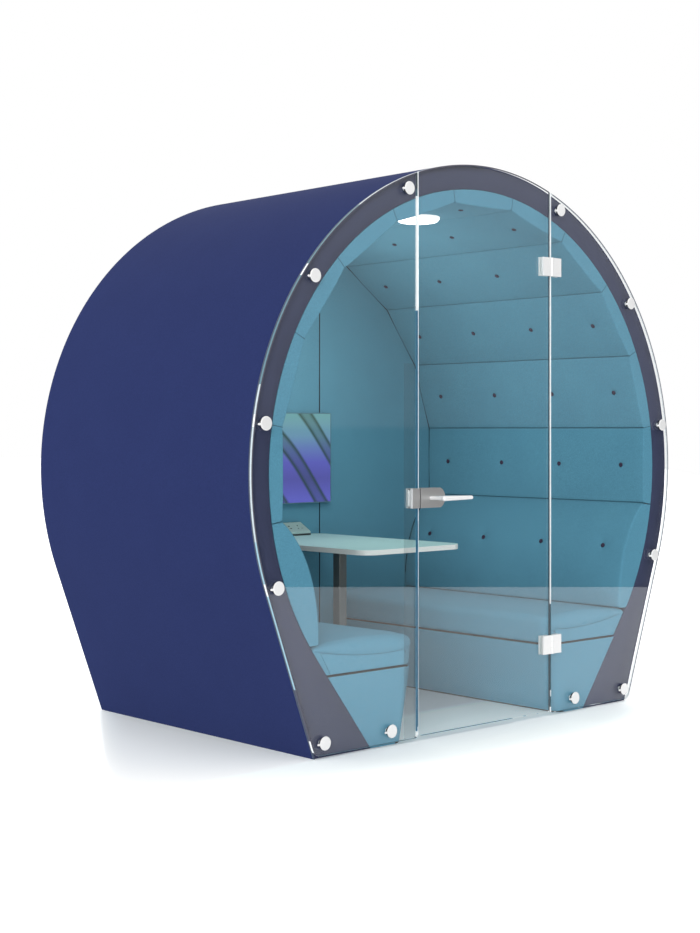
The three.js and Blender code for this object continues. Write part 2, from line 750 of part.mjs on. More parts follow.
// Latch bolt with a slanted nose
function buildLatch() {
  const half = BOLT_W / 2;
  const shape = new THREE.Shape([
    flat(BOLT_TIP_X, boltY + half),
    flat(BOLT_TIP_X, boltY + half - 2),
    flat(BOLT_TIP_X + BOLT_THROW - 2, boltY - half),
    flat(BOLT_TAIL_X, boltY - half),
    flat(BOLT_TAIL_X, boltY + half),
  ]);
  add('latch_bolt', slab(shape, LOCK_Z - BOLT_H / 2, LOCK_Z + BOLT_H / 2), satinSteel);
}

// Levers: a round bar out of the case, bent along the door. The outside one carries the spindle.

function leverBar(fromY, toY) {
  const away = Math.sign(toY - fromY);
  const bend = new THREE.CurvePath();
  const point = (x, y) => new THREE.Vector3(x, y, LOCK_Z);
  const elbow = [point(SPINDLE_X, toY - away * LEVER_BEND), point(SPINDLE_X, toY), point(SPINDLE_X + LEVER_BEND, toY)];
  bend.add(new THREE.LineCurve3(point(SPINDLE_X, fromY), elbow[0]));
  bend.add(new THREE.QuadraticBezierCurve3(...elbow));
  bend.add(new THREE.LineCurve3(elbow[2], point(LEVER_END_X, toY)));
  const sides = 10;
  const section = new THREE.Shape();
  section.absarc(0, 0, LEVER_R, 0, 2 * Math.PI);
  const sweep = { steps: 20, curveSegments: sides / 2, bevelEnabled: false, extrudePath: bend };
  return facingOut(new THREE.ExtrudeGeometry(section, sweep));
}

function buildLevers() {
  const outsideY = plateFront[0] - 2 * GAP;
  const insideY = plateBack[1] + 2 * GAP;
  const socketDepth = 16;
  const spindle = roundBar(SPINDLE_R, outsideY - 1, insideY + socketDepth - GAP, SPINDLE_X, LOCK_Z);
  const socket = roundBar(SPINDLE_R + GAP, insideY - 1, insideY + socketDepth, SPINDLE_X, LOCK_Z);
  add('lever_outside', join(leverBar(outsideY, outsideY + 2 * GAP - LEVER_REACH), spindle), polishedSteel);
  add('lever_inside', cut(leverBar(insideY, insideY - 2 * GAP + LEVER_REACH), socket), polishedSteel);
}

// Table: top on a square column with a flange, standing on a base plate

function buildTable() {
  const table = new THREE.Group();
  table.position.y = (TABLE_FRONT_Y + TABLE_BACK_Y) / 2;
  pod.add(table);
  const halfDepth = (TABLE_BACK_Y - TABLE_FRONT_Y) / 2;
  const topOutline = roundedRectangle([-TABLE_HALF_W, TABLE_HALF_W], [-halfDepth, halfDepth], TABLE_CORNER_R);
  const topBottom = TABLE_TOP_Z - TABLE_T;
  add('table_top', slab(topOutline, topBottom, TABLE_TOP_Z), whiteLaminate, table);

  const halfColumn = COLUMN_W / 2;
  const flangeLow = topBottom - GAP - FLANGE_T;
  const tube = roundedRectangle([-halfColumn, halfColumn], [-halfColumn, halfColumn], 5);
  const bore = halfColumn - COLUMN_WALL;
  tube.holes.push(new THREE.Path([flat(-bore, -bore), flat(-bore, bore), flat(bore, bore), flat(bore, -bore)]));
  const halfFlange = FLANGE_W / 2;
  const flange = roundedRectangle([-halfFlange, halfFlange], [-halfFlange, halfFlange], 15);
  const column = join(slab(tube, FOOT_T + GAP, flangeLow + 1, 2), slab(flange, flangeLow, topBottom - GAP, 2));
  add('table_column', column, columnSteel, table);

  const halfFoot = FOOT_W / 2;
  add('table_base', slab(roundedRectangle([-halfFoot, halfFoot], [-halfFoot, halfFoot], 30), 0, FOOT_T), columnSteel, table);
}

// Power unit: a wedge against the back wall, with two three-pin sockets and two small ports in its slope

function buildPowerUnit() {
  const unit = new THREE.Group();
  unit.position.set(0, TABLE_BACK_Y - POWER_DEPTH, TABLE_TOP_Z + GAP);
  pod.add(unit);
  const section = new THREE.Shape([
    flat(0, 0),
    flat(POWER_DEPTH, 0),
    flat(POWER_DEPTH, POWER_BACK_H),
    flat(POWER_DEPTH - POWER_TOP_FLAT, POWER_BACK_H),
    flat(0, POWER_FRONT_H),
  ]);
  const wedge = new THREE.ExtrudeGeometry(section, { depth: 2 * POWER_HALF_W, bevelEnabled: false });
  wedge.rotateX(Math.PI / 2).rotateZ(Math.PI / 2).translate(-POWER_HALF_W, 0, 0);
  const slope = Math.atan2(POWER_BACK_H - POWER_FRONT_H, POWER_DEPTH - POWER_TOP_FLAT);
  const middle = [(POWER_DEPTH - POWER_TOP_FLAT) / 2, (POWER_FRONT_H + POWER_BACK_H) / 2];
  const slotDepth = 6;
  const slot = (x, up, width, height) => new THREE.BoxGeometry(width, height, 2 * slotDepth)
    .translate(x, up, 0)
    .rotateX(slope)
    .translate(0, ...middle);
  const slots = [slot(82, 10.5, 13, 7), slot(82, -8.5, 13, 7)];
  for (const x of [-136, 136]) {
    slots.push(slot(x, 12.5, 5, 9), slot(x - 11, -12, 8, 5), slot(x + 11, -12, 8, 5));
  }
  add('power_unit', cut(wedge, ...slots), whitePlastic, unit);
}

// Screen: a flat casing on the back wall with the display let into its front
function buildScreen() {
  const screen = new THREE.Group();
  screen.position.set(0, BACK_WALL_Y - GAP - SCREEN_T, SCREEN_Z);
  pod.add(screen);
  const half = [SCREEN_W / 2, SCREEN_H / 2];
  const opening = half.map((size) => size - BEZEL_W);
  const body = plate(roundedRectangle([-half[0], half[0]], [-half[1], half[1]], 6), 0, SCREEN_T, 3);
  const recess = block([-opening[0], opening[0]], [-1, DISPLAY_T + GAP], [-opening[1], opening[1]]);
  add('screen_casing', cut(body, recess), casingPlastic, screen);
  const glass = opening.map((size) => size - GAP);
  const display = block([-glass[0], glass[0]], [0.5, DISPLAY_T], [-glass[1], glass[1]]);
  add('screen_display', display, displayGlass, screen);
}

// Light: a shallow round housing on the ceiling panel with an opal diffuser bulging out of it
function buildLamp() {
  const lamp = new THREE.Group();
  lamp.position.set(0, LAMP_Y, ARCH_CENTRE_Z + PANEL_FACE - GAP);
  pod.add(lamp);
  const sides = 32;
  const seat = 4;
  const housing = [[0, 0], [LAMP_R, 0], [LAMP_R, -LAMP_H + 2], [LAMP_R - 2, -LAMP_H], [DIFFUSER_R + GAP, -LAMP_H]];
  housing.push([DIFFUSER_R + GAP, -seat], [0, -seat]);
  add('lamp_housing', turned(housing, sides), whitePlastic, lamp);
  const bulge = -LAMP_H - DIFFUSER_DROP;
  const opal = [[0, -seat - GAP], [DIFFUSER_R, -seat - GAP], [DIFFUSER_R, -LAMP_H], [0.9 * DIFFUSER_R, bulge + 3]];
  opal.push([0.6 * DIFFUSER_R, bulge + 0.6], [0, bulge]);
  add('lamp_diffuser', turned(opal, sides), lampOpal, lamp);
}

buildShell();
buildBand();
buildRibs();
buildBackWall();
buildLining();
buildBenches();
buildGlass();
buildStandoffs();
buildHinges();
buildLock();
buildLatch();
buildLevers();
buildTable();
buildPowerUnit();
buildScreen();
buildLamp();

export default pod;
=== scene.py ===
"""Looks of the acoustic office pod: upholstery, glass front, fittings, table, screen and light."""

import contextlib
from math import acos, copysign, cos, exp, pi, radians, sin, sqrt, tan

import bmesh
import bpy
import numpy as np
from mathutils import Matrix, Vector


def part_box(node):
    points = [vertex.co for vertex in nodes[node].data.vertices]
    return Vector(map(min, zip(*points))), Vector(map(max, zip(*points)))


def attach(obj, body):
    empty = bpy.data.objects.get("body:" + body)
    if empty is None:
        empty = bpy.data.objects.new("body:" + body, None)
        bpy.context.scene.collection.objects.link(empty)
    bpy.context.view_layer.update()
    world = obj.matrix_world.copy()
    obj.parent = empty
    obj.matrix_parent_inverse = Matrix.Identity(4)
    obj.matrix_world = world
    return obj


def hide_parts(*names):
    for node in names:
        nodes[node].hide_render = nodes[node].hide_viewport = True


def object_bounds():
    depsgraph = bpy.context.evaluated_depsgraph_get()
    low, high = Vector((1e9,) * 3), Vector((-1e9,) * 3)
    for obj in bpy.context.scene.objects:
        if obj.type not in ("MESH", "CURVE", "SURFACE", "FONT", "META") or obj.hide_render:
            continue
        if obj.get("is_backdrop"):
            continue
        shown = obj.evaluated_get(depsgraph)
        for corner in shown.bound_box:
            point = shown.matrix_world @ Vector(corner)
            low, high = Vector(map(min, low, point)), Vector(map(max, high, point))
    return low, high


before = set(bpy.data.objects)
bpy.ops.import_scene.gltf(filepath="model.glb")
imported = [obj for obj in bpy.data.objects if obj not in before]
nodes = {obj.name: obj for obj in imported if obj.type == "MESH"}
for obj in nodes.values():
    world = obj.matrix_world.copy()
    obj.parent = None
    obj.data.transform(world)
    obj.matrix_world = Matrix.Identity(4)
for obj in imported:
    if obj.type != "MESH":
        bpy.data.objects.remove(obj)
cad_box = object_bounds()
scene = bpy.context.scene

# Dimensions in metres, repeated from the CAD source. Depths are counted from the front face of the band.
FRONT_Y = -0.6305
ARCH_Z = 1.044
SHELL_R = 1.225
SHELL_LIP = 0.004
SHELL_T = 0.025
SHELL_LEAN = radians(20)
BAND_R = 1.130
BAND_T = 0.018
BAND_LEAN = radians(36.7)
DEPTH = 1.377
WALL_Y = 1.357
WALL_T = 0.011
WALL_JOINT_X = 0.312
LINING_BACK = 1.356

PITCH = radians(18)
PANELS_EACH_SIDE = 5
PANEL_FACE = 1.060
PANEL_OUT_R = 1.1285
MITRE_R = PANEL_FACE / cos(PITCH / 2)
JOINT = 0.0024
BUTTON_Y = [0.128 + 0.3645 * i for i in range(4)]
BUTTON_R = 0.0105

SEAT_TOP = 0.410
SEAT_CROWN = 0.013
SEAT_BOTTOM = 0.298
SEAT_AISLE = 0.394
SEAT_CORNER = 0.045
BASE_TOP = 0.290
BASE_AISLE_TOP = 0.400
BASE_AISLE_FOOT = 0.456
BACKREST_FACE = [(1.064, 0.876), (0.960, 0.800), (0.886, 0.640), (0.886, 0.440)]
BACKREST_BOTTOM = 0.413
BACKREST_BUTTON_T = 0.544

GLASS_Y = (-0.018, -0.008)
GLASS_R = 1.225
GLASS_TOP = ARCH_Z + GLASS_R
GLASS_FOOT = 0.010
DOOR_W = 0.393
DOOR_FOOT = 0.016
DOOR_GAP = 0.005
SHEET_SPANS = {"left": (-2, -DOOR_W - DOOR_GAP), "door": (-DOOR_W, DOOR_W), "right": (DOOR_W + DOOR_GAP, 2)}
STANDOFF_R = 1.180
STANDOFF_ANGLES = [22.5, 52.3, 81.1, 110.1]
STANDOFF_FEET = [(0.886, 0.057), (0.546, 0.057)]
HINGE_AXIS = (0.3955, -0.026)
HINGE_Z = {"lower": 0.300, "upper": 1.890}
LOCK_Z = 0.939
SPINDLE_X = -0.338
LEVER_END = -0.180
LEVER_REACH = 0.075
LAMP_Y = 0.376
SCREEN_Z = 1.070

# Values that only the looks need: clearance, radius at the axis of turned forms, mesh step and swell of
# padding, the pressure in it, and how deep the cushions' end panels sit
FIT = 0.0003
POINT = 1e-5
PAD_STEP = 0.0095
PAD_SWELL = 0.004
PRESSURE = 4.0
SETTLE_FRAMES = 20
END_TUCK = 0.0045
SIDES = (("right", False), ("left", True))


# Node helpers for materials

def put(tree, socket, value):
    """Links an output to a socket, or sets a constant on it."""
    if isinstance(value, bpy.types.NodeSocket):
        tree.links.new(value, socket)
    else:
        socket.default_value = (*value, 1) if socket.type == "RGBA" else value


def add_node(tree, kind, *values, **named):
    """A shader node whose inputs take values in order or by name."""
    node = tree.nodes.new("ShaderNode" + kind)
    for index, value in enumerate(values):
        put(tree, node.inputs[index], value)
    for name, value in named.items():
        put(tree, node.inputs[name.replace("_", " ")], value)
    return node


def material(name, color, roughness, metallic=0.0, **sockets):
    mat = bpy.data.materials.new(name)
    mat.use_nodes = True
    tree = mat.node_tree
    bsdf = tree.nodes["Principled BSDF"]
    sockets.update(Base_Color=color, Roughness=roughness, Metallic=metallic)
    for socket, value in sockets.items():
        put(tree, bsdf.inputs[socket.replace("_", " ")], value)
    return mat, tree, bsdf


def place(tree, space="Object"):
    """Where a point lies: outputs X, Y and Z."""
    return add_node(tree, "SeparateXYZ", add_node(tree, "TexCoord").outputs[space]).outputs


def within(tree, value, low, high):
    """A value as a share of a range."""
    return add_node(tree, "MapRange", Value=value, From_Min=low, From_Max=high).outputs["Result"]


def calc(tree, operation, *values):
    node = add_node(tree, "Math")
    node.operation = operation
    for socket, value in zip(node.inputs, values):
        put(tree, socket, value)
    return node.outputs["Value"]


def noise(tree, scale, detail=3.0, rough=0.6, stretch=None):
    source = add_node(tree, "TexCoord").outputs["Object"]
    if stretch:
        source = add_node(tree, "Mapping", Vector=source, Scale=stretch).outputs["Vector"]
    texture = add_node(tree, "TexNoise", Vector=source, Scale=scale, Detail=detail, Roughness=rough)
    return texture.outputs["Fac"]


def grey(tone):
    return (tone, tone, tone)


def shade(color, factor):
    return tuple(channel * factor for channel in color)


def ramp(tree, factor, stops, steps="LINEAR"):
    """Tones along a factor, as (position, colour or grey)."""
    node = add_node(tree, "ValToRGB", factor)
    node.color_ramp.interpolation = steps
    while len(node.color_ramp.elements) < len(stops):
        node.color_ramp.elements.new(0.5)
    for element, (position, tone) in zip(node.color_ramp.elements, stops):
        element.position = position
        element.color = (*(tone if isinstance(tone, tuple) else grey(tone)), 1)
    return node.outputs["Color"]


def mixed(tree, factor, a, b, blend="MIX"):
    node = add_node(tree, "Mix")
    node.data_type = "RGBA"
    node.blend_type = blend
    for socket, value in ((0, factor), (6, a), (7, b)):
        put(tree, node.inputs[socket], value)
    return node.outputs[2]


def shaders(tree, factor, a, b):
    return add_node(tree, "MixShader", factor, a, b).outputs["Shader"]


def bump(tree, bsdf, height, distance, strength):
    node = add_node(tree, "Bump", Strength=strength, Distance=distance, Height=height)
    put(tree, bsdf.inputs["Normal"], node.outputs["Normal"])


def grained(name, color, roughness, grain, low, high, relief=None, between=(0.3, 0.7), also=(), **sockets):
    """A finish that varies between two tones. grain is its noise: scale, detail, roughness and stretch."""
    mat, tree, bsdf = material(name, color, roughness, **sockets)
    texture = noise(tree, *grain)
    tone = ramp(tree, texture, list(zip(between, (low, high))))
    for socket in ("Base Color", *also):
        put(tree, bsdf.inputs[socket], tone)
    if relief:
        bump(tree, bsdf, texture, *relief)
    return mat


# What the felt hands on to its neighbours is kept close to neutral
BOUNCE = (0.20, 0.25, 0.28)


def felt(name, color, spread=0.16):
    """Wool felt: fibres, a mottled melange and a slow drift of tone, with a soft sheen."""
    tint = [min(1.0, 0.4 + channel) for channel in color]
    mat, tree, bsdf = material(name, color, 0.9, Specular_IOR_Level=0.1,
                               Sheen_Weight=0.05, Sheen_Roughness=0.45, Sheen_Tint=tint)
    pale, deep = shade(color, 1.045 + spread), shade(color, 1.045 - spread)
    tone = ramp(tree, noise(tree, 420, 5, 0.7), [(0.3, deep), (0.7, pale)])
    clumps = ramp(tree, noise(tree, 190, 2), [(0.35, 0.85), (0.65, 1.0)])
    drift = ramp(tree, noise(tree, 5, 2), [(0.3, (0.95, 0.95, 0.96)), (0.7, 1.0)])
    for layer in (clumps, drift):
        tone = mixed(tree, 1.0, tone, layer, "MULTIPLY")
    bounced = add_node(tree, "LightPath").outputs["Is Diffuse Ray"]
    put(tree, bsdf.inputs["Base Color"], mixed(tree, bounced, tone, BOUNCE))
    bump(tree, bsdf, noise(tree, 900, 4, 0.65), 0.0003, 0.2)
    return mat


def brushed(name, color, roughness, stretch, metallic):
    return grained(name, color, roughness, (90, 4, 0.7, stretch), shade(color, 0.93), color, (0.0001, 0.12),
                   metallic=metallic)


def plastic(name, color, roughness=0.45):
    return grained(name, color, roughness, (1500, 2), shade(color, 0.97), color, (0.0001, 0.08))


def glow_plastic(name, glow):
    """Opal plastic that glows as if lit from behind: in the diffuser it is the lamp itself, on the light's
    rim it is a painted glow.
    """
    return grained(name, grey(0.9), 0.5, (30, 3), (0.97, 0.95, 0.92), (1.0, 0.98, 0.95),
                   also=["Emission Color"], Emission_Strength=glow)


NAVY = (0.0235, 0.037, 0.136)
PLUM = (0.048, 0.053, 0.108)
TEAL = (0.124, 0.338, 0.473)
SEAT = (0.130, 0.352, 0.495)

shell_felt = felt("shell_felt", NAVY, 0.12)
lining_felt = felt("lining_felt", TEAL)
seat_felt = felt("seat_felt", SEAT)
# A darker seat felt for the seam across the cushion ends, which paints the shade of the crease there
seam_shade_felt = felt("seam_shade_felt", shade(SEAT, 0.6))
button_felt = felt("button_felt", (0.060, 0.045, 0.080))
# A darker lining felt that paints the shade in the joints and slots of the lining
joint_shade_felt = felt("joint_shade_felt", shade(TEAL, 0.5))
shadow_felt = felt("shadow_felt", (0.012, 0.018, 0.022))
# A dark felt that paints the shade in gaps and corners between the pads, and the shadow along the benches'
# feet
gap_shade_felt = felt("gap_shade_felt", (0.075, 0.06, 0.05))

band_board = grained("band_board", PLUM, 0.6, (300, 3), shade(PLUM, 0.95), shade(PLUM, 1.04), (0.0002, 0.1),
                     (0.35, 0.65), Specular_IOR_Level=0.12)
plywood = grained("plywood", (0.55, 0.38, 0.2), 0.75, (30, 4, 0.6, (1, 8, 1)),
                  (0.45, 0.3, 0.15), (0.62, 0.45, 0.26))

# The chrome fittings are mostly a diffuse near-white, a painted reflection of the white room round them, with
# some metal gloss on top
chrome_white_reflection = brushed("chrome_white_reflection", grey(0.97), 0.25, (1, 1, 6), 0.25)
chrome_bright_reflection = brushed("chrome_bright_reflection", (0.93, 0.94, 0.95), 0.22, (1, 1, 6), 0.55)
satin_steel = brushed("satin_steel", grey(0.42), 0.38, (6, 1, 1), 0.6)
column_steel = brushed("column_steel", (0.20, 0.19, 0.18), 0.36, (1, 1, 0.1), 0.55)

table_laminate = plastic("table_laminate", (0.62, 0.93, 0.92), 0.4)
table_edge = plastic("table_edge", (0.93, 0.92, 0.90), 0.4)
# The power unit's white plastic is given a dim teal grey: painted shade and teal bounce light
shaded_white_plastic = plastic("shaded_white_plastic", (0.42, 0.58, 0.57))
dark_plastic = plastic("dark_plastic", (0.03, 0.032, 0.035), 0.5)
# The screen casing's dim teal is the tone of the shaded lining round it: painted shade and teal bounce light
casing_plastic = plastic("casing_plastic", (0.10, 0.22, 0.28))
# Dark lines round the glass's outer edges: painted reflection of the edges, paler on the right sheet
dark_edge_reflection = plastic("dark_edge_reflection", (0.085, 0.085, 0.12), 0.4)
pale_edge_reflection = plastic("pale_edge_reflection", (0.19, 0.20, 0.24), 0.4)
rubber = plastic("rubber", (0.02, 0.02, 0.024), 0.7)
opal = glow_plastic("opal", 3.0)
# The light's rim glows as well: a painted glow round the lamp
rim_painted_glow = glow_plastic("rim_painted_glow", 0.8)


def clear_glass():
    """Thin clear glass: its faces mirror as a coat does, and what lies behind isn't shifted. Lamps and soft
    light pass straight through, and a tint shows only along its edges."""
    mat, tree, bsdf = material("clear_glass", (0.97, 0.99, 0.99), 0.0, Transmission_Weight=1.0, IOR=1.01,
                               Coat_Weight=1.0, Coat_Roughness=0.0, Coat_IOR=1.5)
    path = add_node(tree, "LightPath").outputs
    light = calc(tree, "MAXIMUM", path["Is Shadow Ray"], path["Is Diffuse Ray"])
    through = add_node(tree, "BsdfTransparent", (0.93, 0.96, 0.96)).outputs["BSDF"]
    tint = add_node(tree, "VolumeAbsorption", (0.25, 0.8, 0.85), 0.4).outputs["Volume"]
    out = tree.nodes["Material Output"].inputs
    put(tree, out["Surface"], shaders(tree, light, bsdf.outputs["BSDF"], through))
    put(tree, out["Volume"], tint)
    return mat


def edge_reflection_material(name, front, back=None, glow=0.3, share=0.5):
    """A polished glass edge whose colour is painted reflection, in bands of (from this height, tone) near the
    face and behind it, with a faint painted glow.
    """
    mat, tree, bsdf = material(name, front[0][1], 0.3, Emission_Strength=glow)
    at = place(tree)
    height = within(tree, at["Z"], 0.0, GLASS_TOP)
    halves = [ramp(tree, height, [(z / GLASS_TOP, tone) for z, tone in bands], "CONSTANT")
              for bands in (front, back or front)]
    depth = within(tree, at["Y"], FRONT_Y + GLASS_Y[0], FRONT_Y + GLASS_Y[1])
    behind = ramp(tree, depth, [(share - 0.05, 0.0), (share + 0.05, 1.0)])
    streaks = ramp(tree, noise(tree, 60, 3), [(0.3, 0.85), (0.7, 1.0)])
    tone = mixed(tree, 1.0, mixed(tree, behind, *halves), streaks, "MULTIPLY")
    for socket in ("Base Color", "Emission Color"):
        put(tree, bsdf.inputs[socket], tone)
    return mat


def with_glints(bands, heights, length, glint):
    """The bands of a glass edge with a short bright reflection beside each fixing."""
    marked = list(bands)
    for z in heights:
        after = [tone for start, tone in bands if start <= z + length / 2][-1]
        marked += [(max(z - length / 2, 0.001), glint), (z + length / 2, after)]
    return sorted(marked, key=lambda band: band[0])


# Tones of the painted reflections in the glass edges, set in bands by height and different on each edge of
# each sheet
WHITE_EDGE, PALE_EDGE = (0.93, 0.96, 0.97), (0.30, 0.50, 0.60)
DEEP_EDGE, DARK_EDGE, BAND_EDGE = (0.025, 0.14, 0.24), (0.02, 0.04, 0.055), (0.06, 0.065, 0.10)
DUSK_EDGE = (0.07, 0.14, 0.18)
FOOT_TONE = (0.05, 0.15, 0.20)
GLINT_Z = [0.045, 0.63, 1.23, 1.78]
left_rim = [(0.0, BAND_EDGE), (0.26, PALE_EDGE), (0.80, (0.55, 0.64, 0.68)), (1.36, (0.10, 0.21, 0.26)),
            (2.04, (0.62, 0.68, 0.72))]
left_stile = [(0.0, WHITE_EDGE), (0.035, DEEP_EDGE), (1.665, WHITE_EDGE), (2.105, DUSK_EDGE),
              (2.135, DARK_EDGE)]
lock_front = [(0.0, (0.48, 0.53, 0.56)), (0.55, (0.66, 0.71, 0.75)), (0.85, WHITE_EDGE)]
lock_back = [(0.0, WHITE_EDGE), (0.05, DEEP_EDGE), (1.665, WHITE_EDGE)]
hinge_front = [(0.0, WHITE_EDGE), (0.03, DARK_EDGE), (0.465, WHITE_EDGE)]
right_stile = [(0.0, WHITE_EDGE), (0.03, DUSK_EDGE), (0.075, WHITE_EDGE), (0.105, DUSK_EDGE),
               (0.465, WHITE_EDGE)]
rim_edges = [
    edge_reflection_material("rim_edge_left", with_glints(left_rim, GLINT_Z, 0.045, WHITE_EDGE)),
    edge_reflection_material("rim_edge_right", [(0.0, DUSK_EDGE)], [(0.0, WHITE_EDGE)], share=0.3),
]
stile_edges = {
    "left": edge_reflection_material("stile_edge_left", left_stile),
    "door_left": edge_reflection_material("stile_edge_lock", lock_front, lock_back, share=0.28),
    "door_right": edge_reflection_material("stile_edge_hinge", hinge_front, [(0.0, DARK_EDGE)], 0.15, 0.32),
    "right": edge_reflection_material("stile_edge_right", right_stile),
}
# The sheets' feet are teal with painted white glints, and the door's foot has painted bands of white
# reflection across its width
foot_edge_glints = grained("foot_edge_glints", FOOT_TONE, 0.3, (9, 3), FOOT_TONE, (0.95, 0.97, 0.98), between=(0.56, 0.60))
door_foot_glints, tree, bsdf = material("door_foot_glints", DEEP_EDGE, 0.3)
tones = zip((0.0, 0.02, 0.70, 0.79, 0.81, 0.90, 0.91), (WHITE_EDGE, DEEP_EDGE) * 3 + (WHITE_EDGE,))
across = within(tree, place(tree)["X"], -DOOR_W, DOOR_W)
put(tree, bsdf.inputs["Base Color"], ramp(tree, across, list(tones), "CONSTANT"))

glass = clear_glass()
# A dark strip that paints the shade in the gap behind the glass's left edge
left_gap_shade = grained("left_gap_shade", (0.045, 0.07, 0.12), 0.35, (40, 3), (0.04, 0.06, 0.11), (0.05, 0.08, 0.14))
door_film = grained("door_film", (0.045, 0.075, 0.09), 0.2, (25, 3),
                    (0.040, 0.070, 0.085), (0.050, 0.080, 0.095), Alpha=0.12)


def display_material():
    """The display shows a plain gradient crossed by slow ribbons."""
    mat, tree, bsdf = material("display", grey(0.02), 0.25, Emission_Strength=0.95)
    sky = ramp(tree, within(tree, place(tree)["Z"], SCREEN_Z - 0.2, SCREEN_Z + 0.2), [
        (0.0, (0.12, 0.12, 0.55)), (0.25, (0.09, 0.085, 0.38)), (0.45, (0.11, 0.11, 0.50)),
        (0.62, (0.13, 0.20, 0.49)), (0.76, (0.15, 0.31, 0.46)), (1.0, (0.15, 0.37, 0.39)),
    ])
    ribbons = add_node(tree, "TexWave", add_node(tree, "TexCoord").outputs["Object"],
                       Scale=2.2, Distortion=3.0, Detail=0.0, Detail_Scale=0.6)
    ribbons.bands_direction = "DIAGONAL"
    band = ramp(tree, ribbons.outputs["Fac"], [(0.60, 0.0), (0.80, 0.92), (0.97, 0.4)])
    put(tree, bsdf.inputs["Emission Color"], mixed(tree, band, sky, (0.015, 0.045, 0.02)))
    return mat


display = display_material()


# Mesh helpers

@contextlib.contextmanager
def edited(mesh):
    bm = bmesh.new()
    bm.from_mesh(mesh)
    yield bm
    bm.to_mesh(mesh)
    bm.free()


def finish_mesh(name, mesh, materials, sharp):
    for mat in materials:
        mesh.materials.append(mat)
    mesh.shade_smooth()
    mesh.set_sharp_from_angle(angle=radians(sharp))
    obj = bpy.data.objects.new(name, mesh)
    scene.collection.objects.link(obj)
    return obj


def level(obj):
    """Keeps broad faces flat, so that only the eased edges between them catch the light."""
    weights = obj.modifiers.new("level", "WEIGHTED_NORMAL")
    weights.mode = "FACE_AREA"
    weights.weight = 100
    weights.keep_sharp = True
    return obj


def make(name, verts, faces, *materials, sharp=40, mirror=False):
    verts = np.array(verts, float)
    if mirror:
        verts[:, 0] *= -1
    verts[:, 1] += FRONT_Y
    mesh = bpy.data.meshes.new(name)
    mesh.from_pydata(verts.tolist(), [], faces)
    with edited(mesh) as bm:
        bmesh.ops.recalc_face_normals(bm, faces=bm.faces)
    return finish_mesh(name, mesh, materials, sharp)


def wear(obj, slot, *replaced, body="pod"):
    """Rides obj on its body and lets it stand for the CAD nodes it replaces; slot, the name of its finish, is
    not used.
    """
    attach(obj, body)
    if replaced:
        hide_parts(*replaced)
    return obj


def joined(lofts):
    """Points and faces of closed lofts, each a list of rings."""
    verts, faces = [], []
    for rings in lofts:
        first, count = len(verts), len(rings[0])
        verts += [tuple(point) for ring in rings for point in ring]
        for ring in range(first, len(verts) - count, count):
            pairs = [(ring + i, ring + (i + 1) % count) for i in range(count)]
            faces += [(a, b, b + count, a + count) for a, b in pairs]
        faces += [tuple(range(first, first + count)), tuple(range(len(verts) - count, len(verts)))]
    return verts, faces


def loft(name, rings, *materials, **options):
    obj = make(name, *joined([rings]), *materials, **options)
    ends = {key for face in obj.data.polygons if len(face.vertices) > 8 for key in face.edge_keys}
    for edge in obj.data.edges:
        edge.use_edge_sharp = edge.use_edge_sharp or edge.key in ends
    return obj


def around(sides):
    return np.linspace(0, 2 * pi, sides, endpoint=False)


def turned(profile, sides):
    """Rings of a profile of (radius, height) pairs, turned round z."""
    return [[(r * cos(a), r * sin(a), h) for a in around(sides)] for r, h in profile]


def leg_x(radius, lean, z):
    return radius * cos(lean) - (ARCH_Z - radius * sin(lean) - z) * tan(lean)


def arch_path(radius, lean, foot=0.0, arc_steps=180):
    """Points (x, z) of an arch outline from the right foot over the top to the left foot."""
    knee_x, knee_z = radius * cos(lean), ARCH_Z - radius * sin(lean)
    foot_x, steps = leg_x(radius, lean, foot), 8
    leg = [(foot_x + (knee_x - foot_x) * i / steps, foot + (knee_z - foot) * i / steps) for i in range(steps)]
    arc = [(radius * cos(a), ARCH_Z + radius * sin(a)) for a in np.linspace(-lean, pi + lean, arc_steps + 1)]
    return leg + arc + [(-x, z) for x, z in reversed(leg)]


def hoop(name, section, *materials, end_x=2):
    """A closed hoop along the arch, from its left foot to end_x, with a section of (radius, lean, depth)."""
    rows = [[(x, y, z) for x, z in arch_path(radius, lean) if x < end_x] for radius, lean, y in section]
    return loft(name, list(zip(*rows)), *materials, sharp=50)


def plate(name, loops, depth, bevel, *materials, sharp=40):
    """A flat plate with rolled edges, from an outline and any holes drawn in x and z, between two depths."""
    curve = bpy.data.curves.new(name, "CURVE")
    curve.dimensions = "2D"
    curve.fill_mode = "BOTH"
    curve.extrude = (depth[1] - depth[0]) / 2 - bevel
    curve.bevel_depth = bevel
    curve.bevel_resolution = 2
    curve.offset = -bevel
    for points in loops:
        spline = curve.splines.new("POLY")
        spline.points.add(len(points) - 1)
        for point, (x, z) in zip(spline.points, points):
            point.co = (x, z, 0, 1)
        spline.use_cyclic_u = True
    holder = bpy.data.objects.new(name + "_outline", curve)
    scene.collection.objects.link(holder)
    bpy.context.view_layer.update()
    mesh = bpy.data.meshes.new_from_object(holder.evaluated_get(bpy.context.evaluated_depsgraph_get()))
    bpy.data.objects.remove(holder)
    mesh.transform(Matrix.Translation((0, FRONT_Y + sum(depth) / 2, 0)) @ Matrix.Rotation(pi / 2, 4, "X"))
    mesh.name = name
    mesh.materials.clear()
    with edited(mesh) as bm:
        merge_flat(bm, 0.05)
        bmesh.ops.recalc_face_normals(bm, faces=bm.faces)
    return level(finish_mesh(name, mesh, materials, sharp))


def merge_flat(bm, degrees):
    bmesh.ops.remove_doubles(bm, verts=bm.verts, dist=1e-6)
    bmesh.ops.dissolve_limit(bm, angle_limit=radians(degrees), verts=bm.verts, edges=bm.edges)


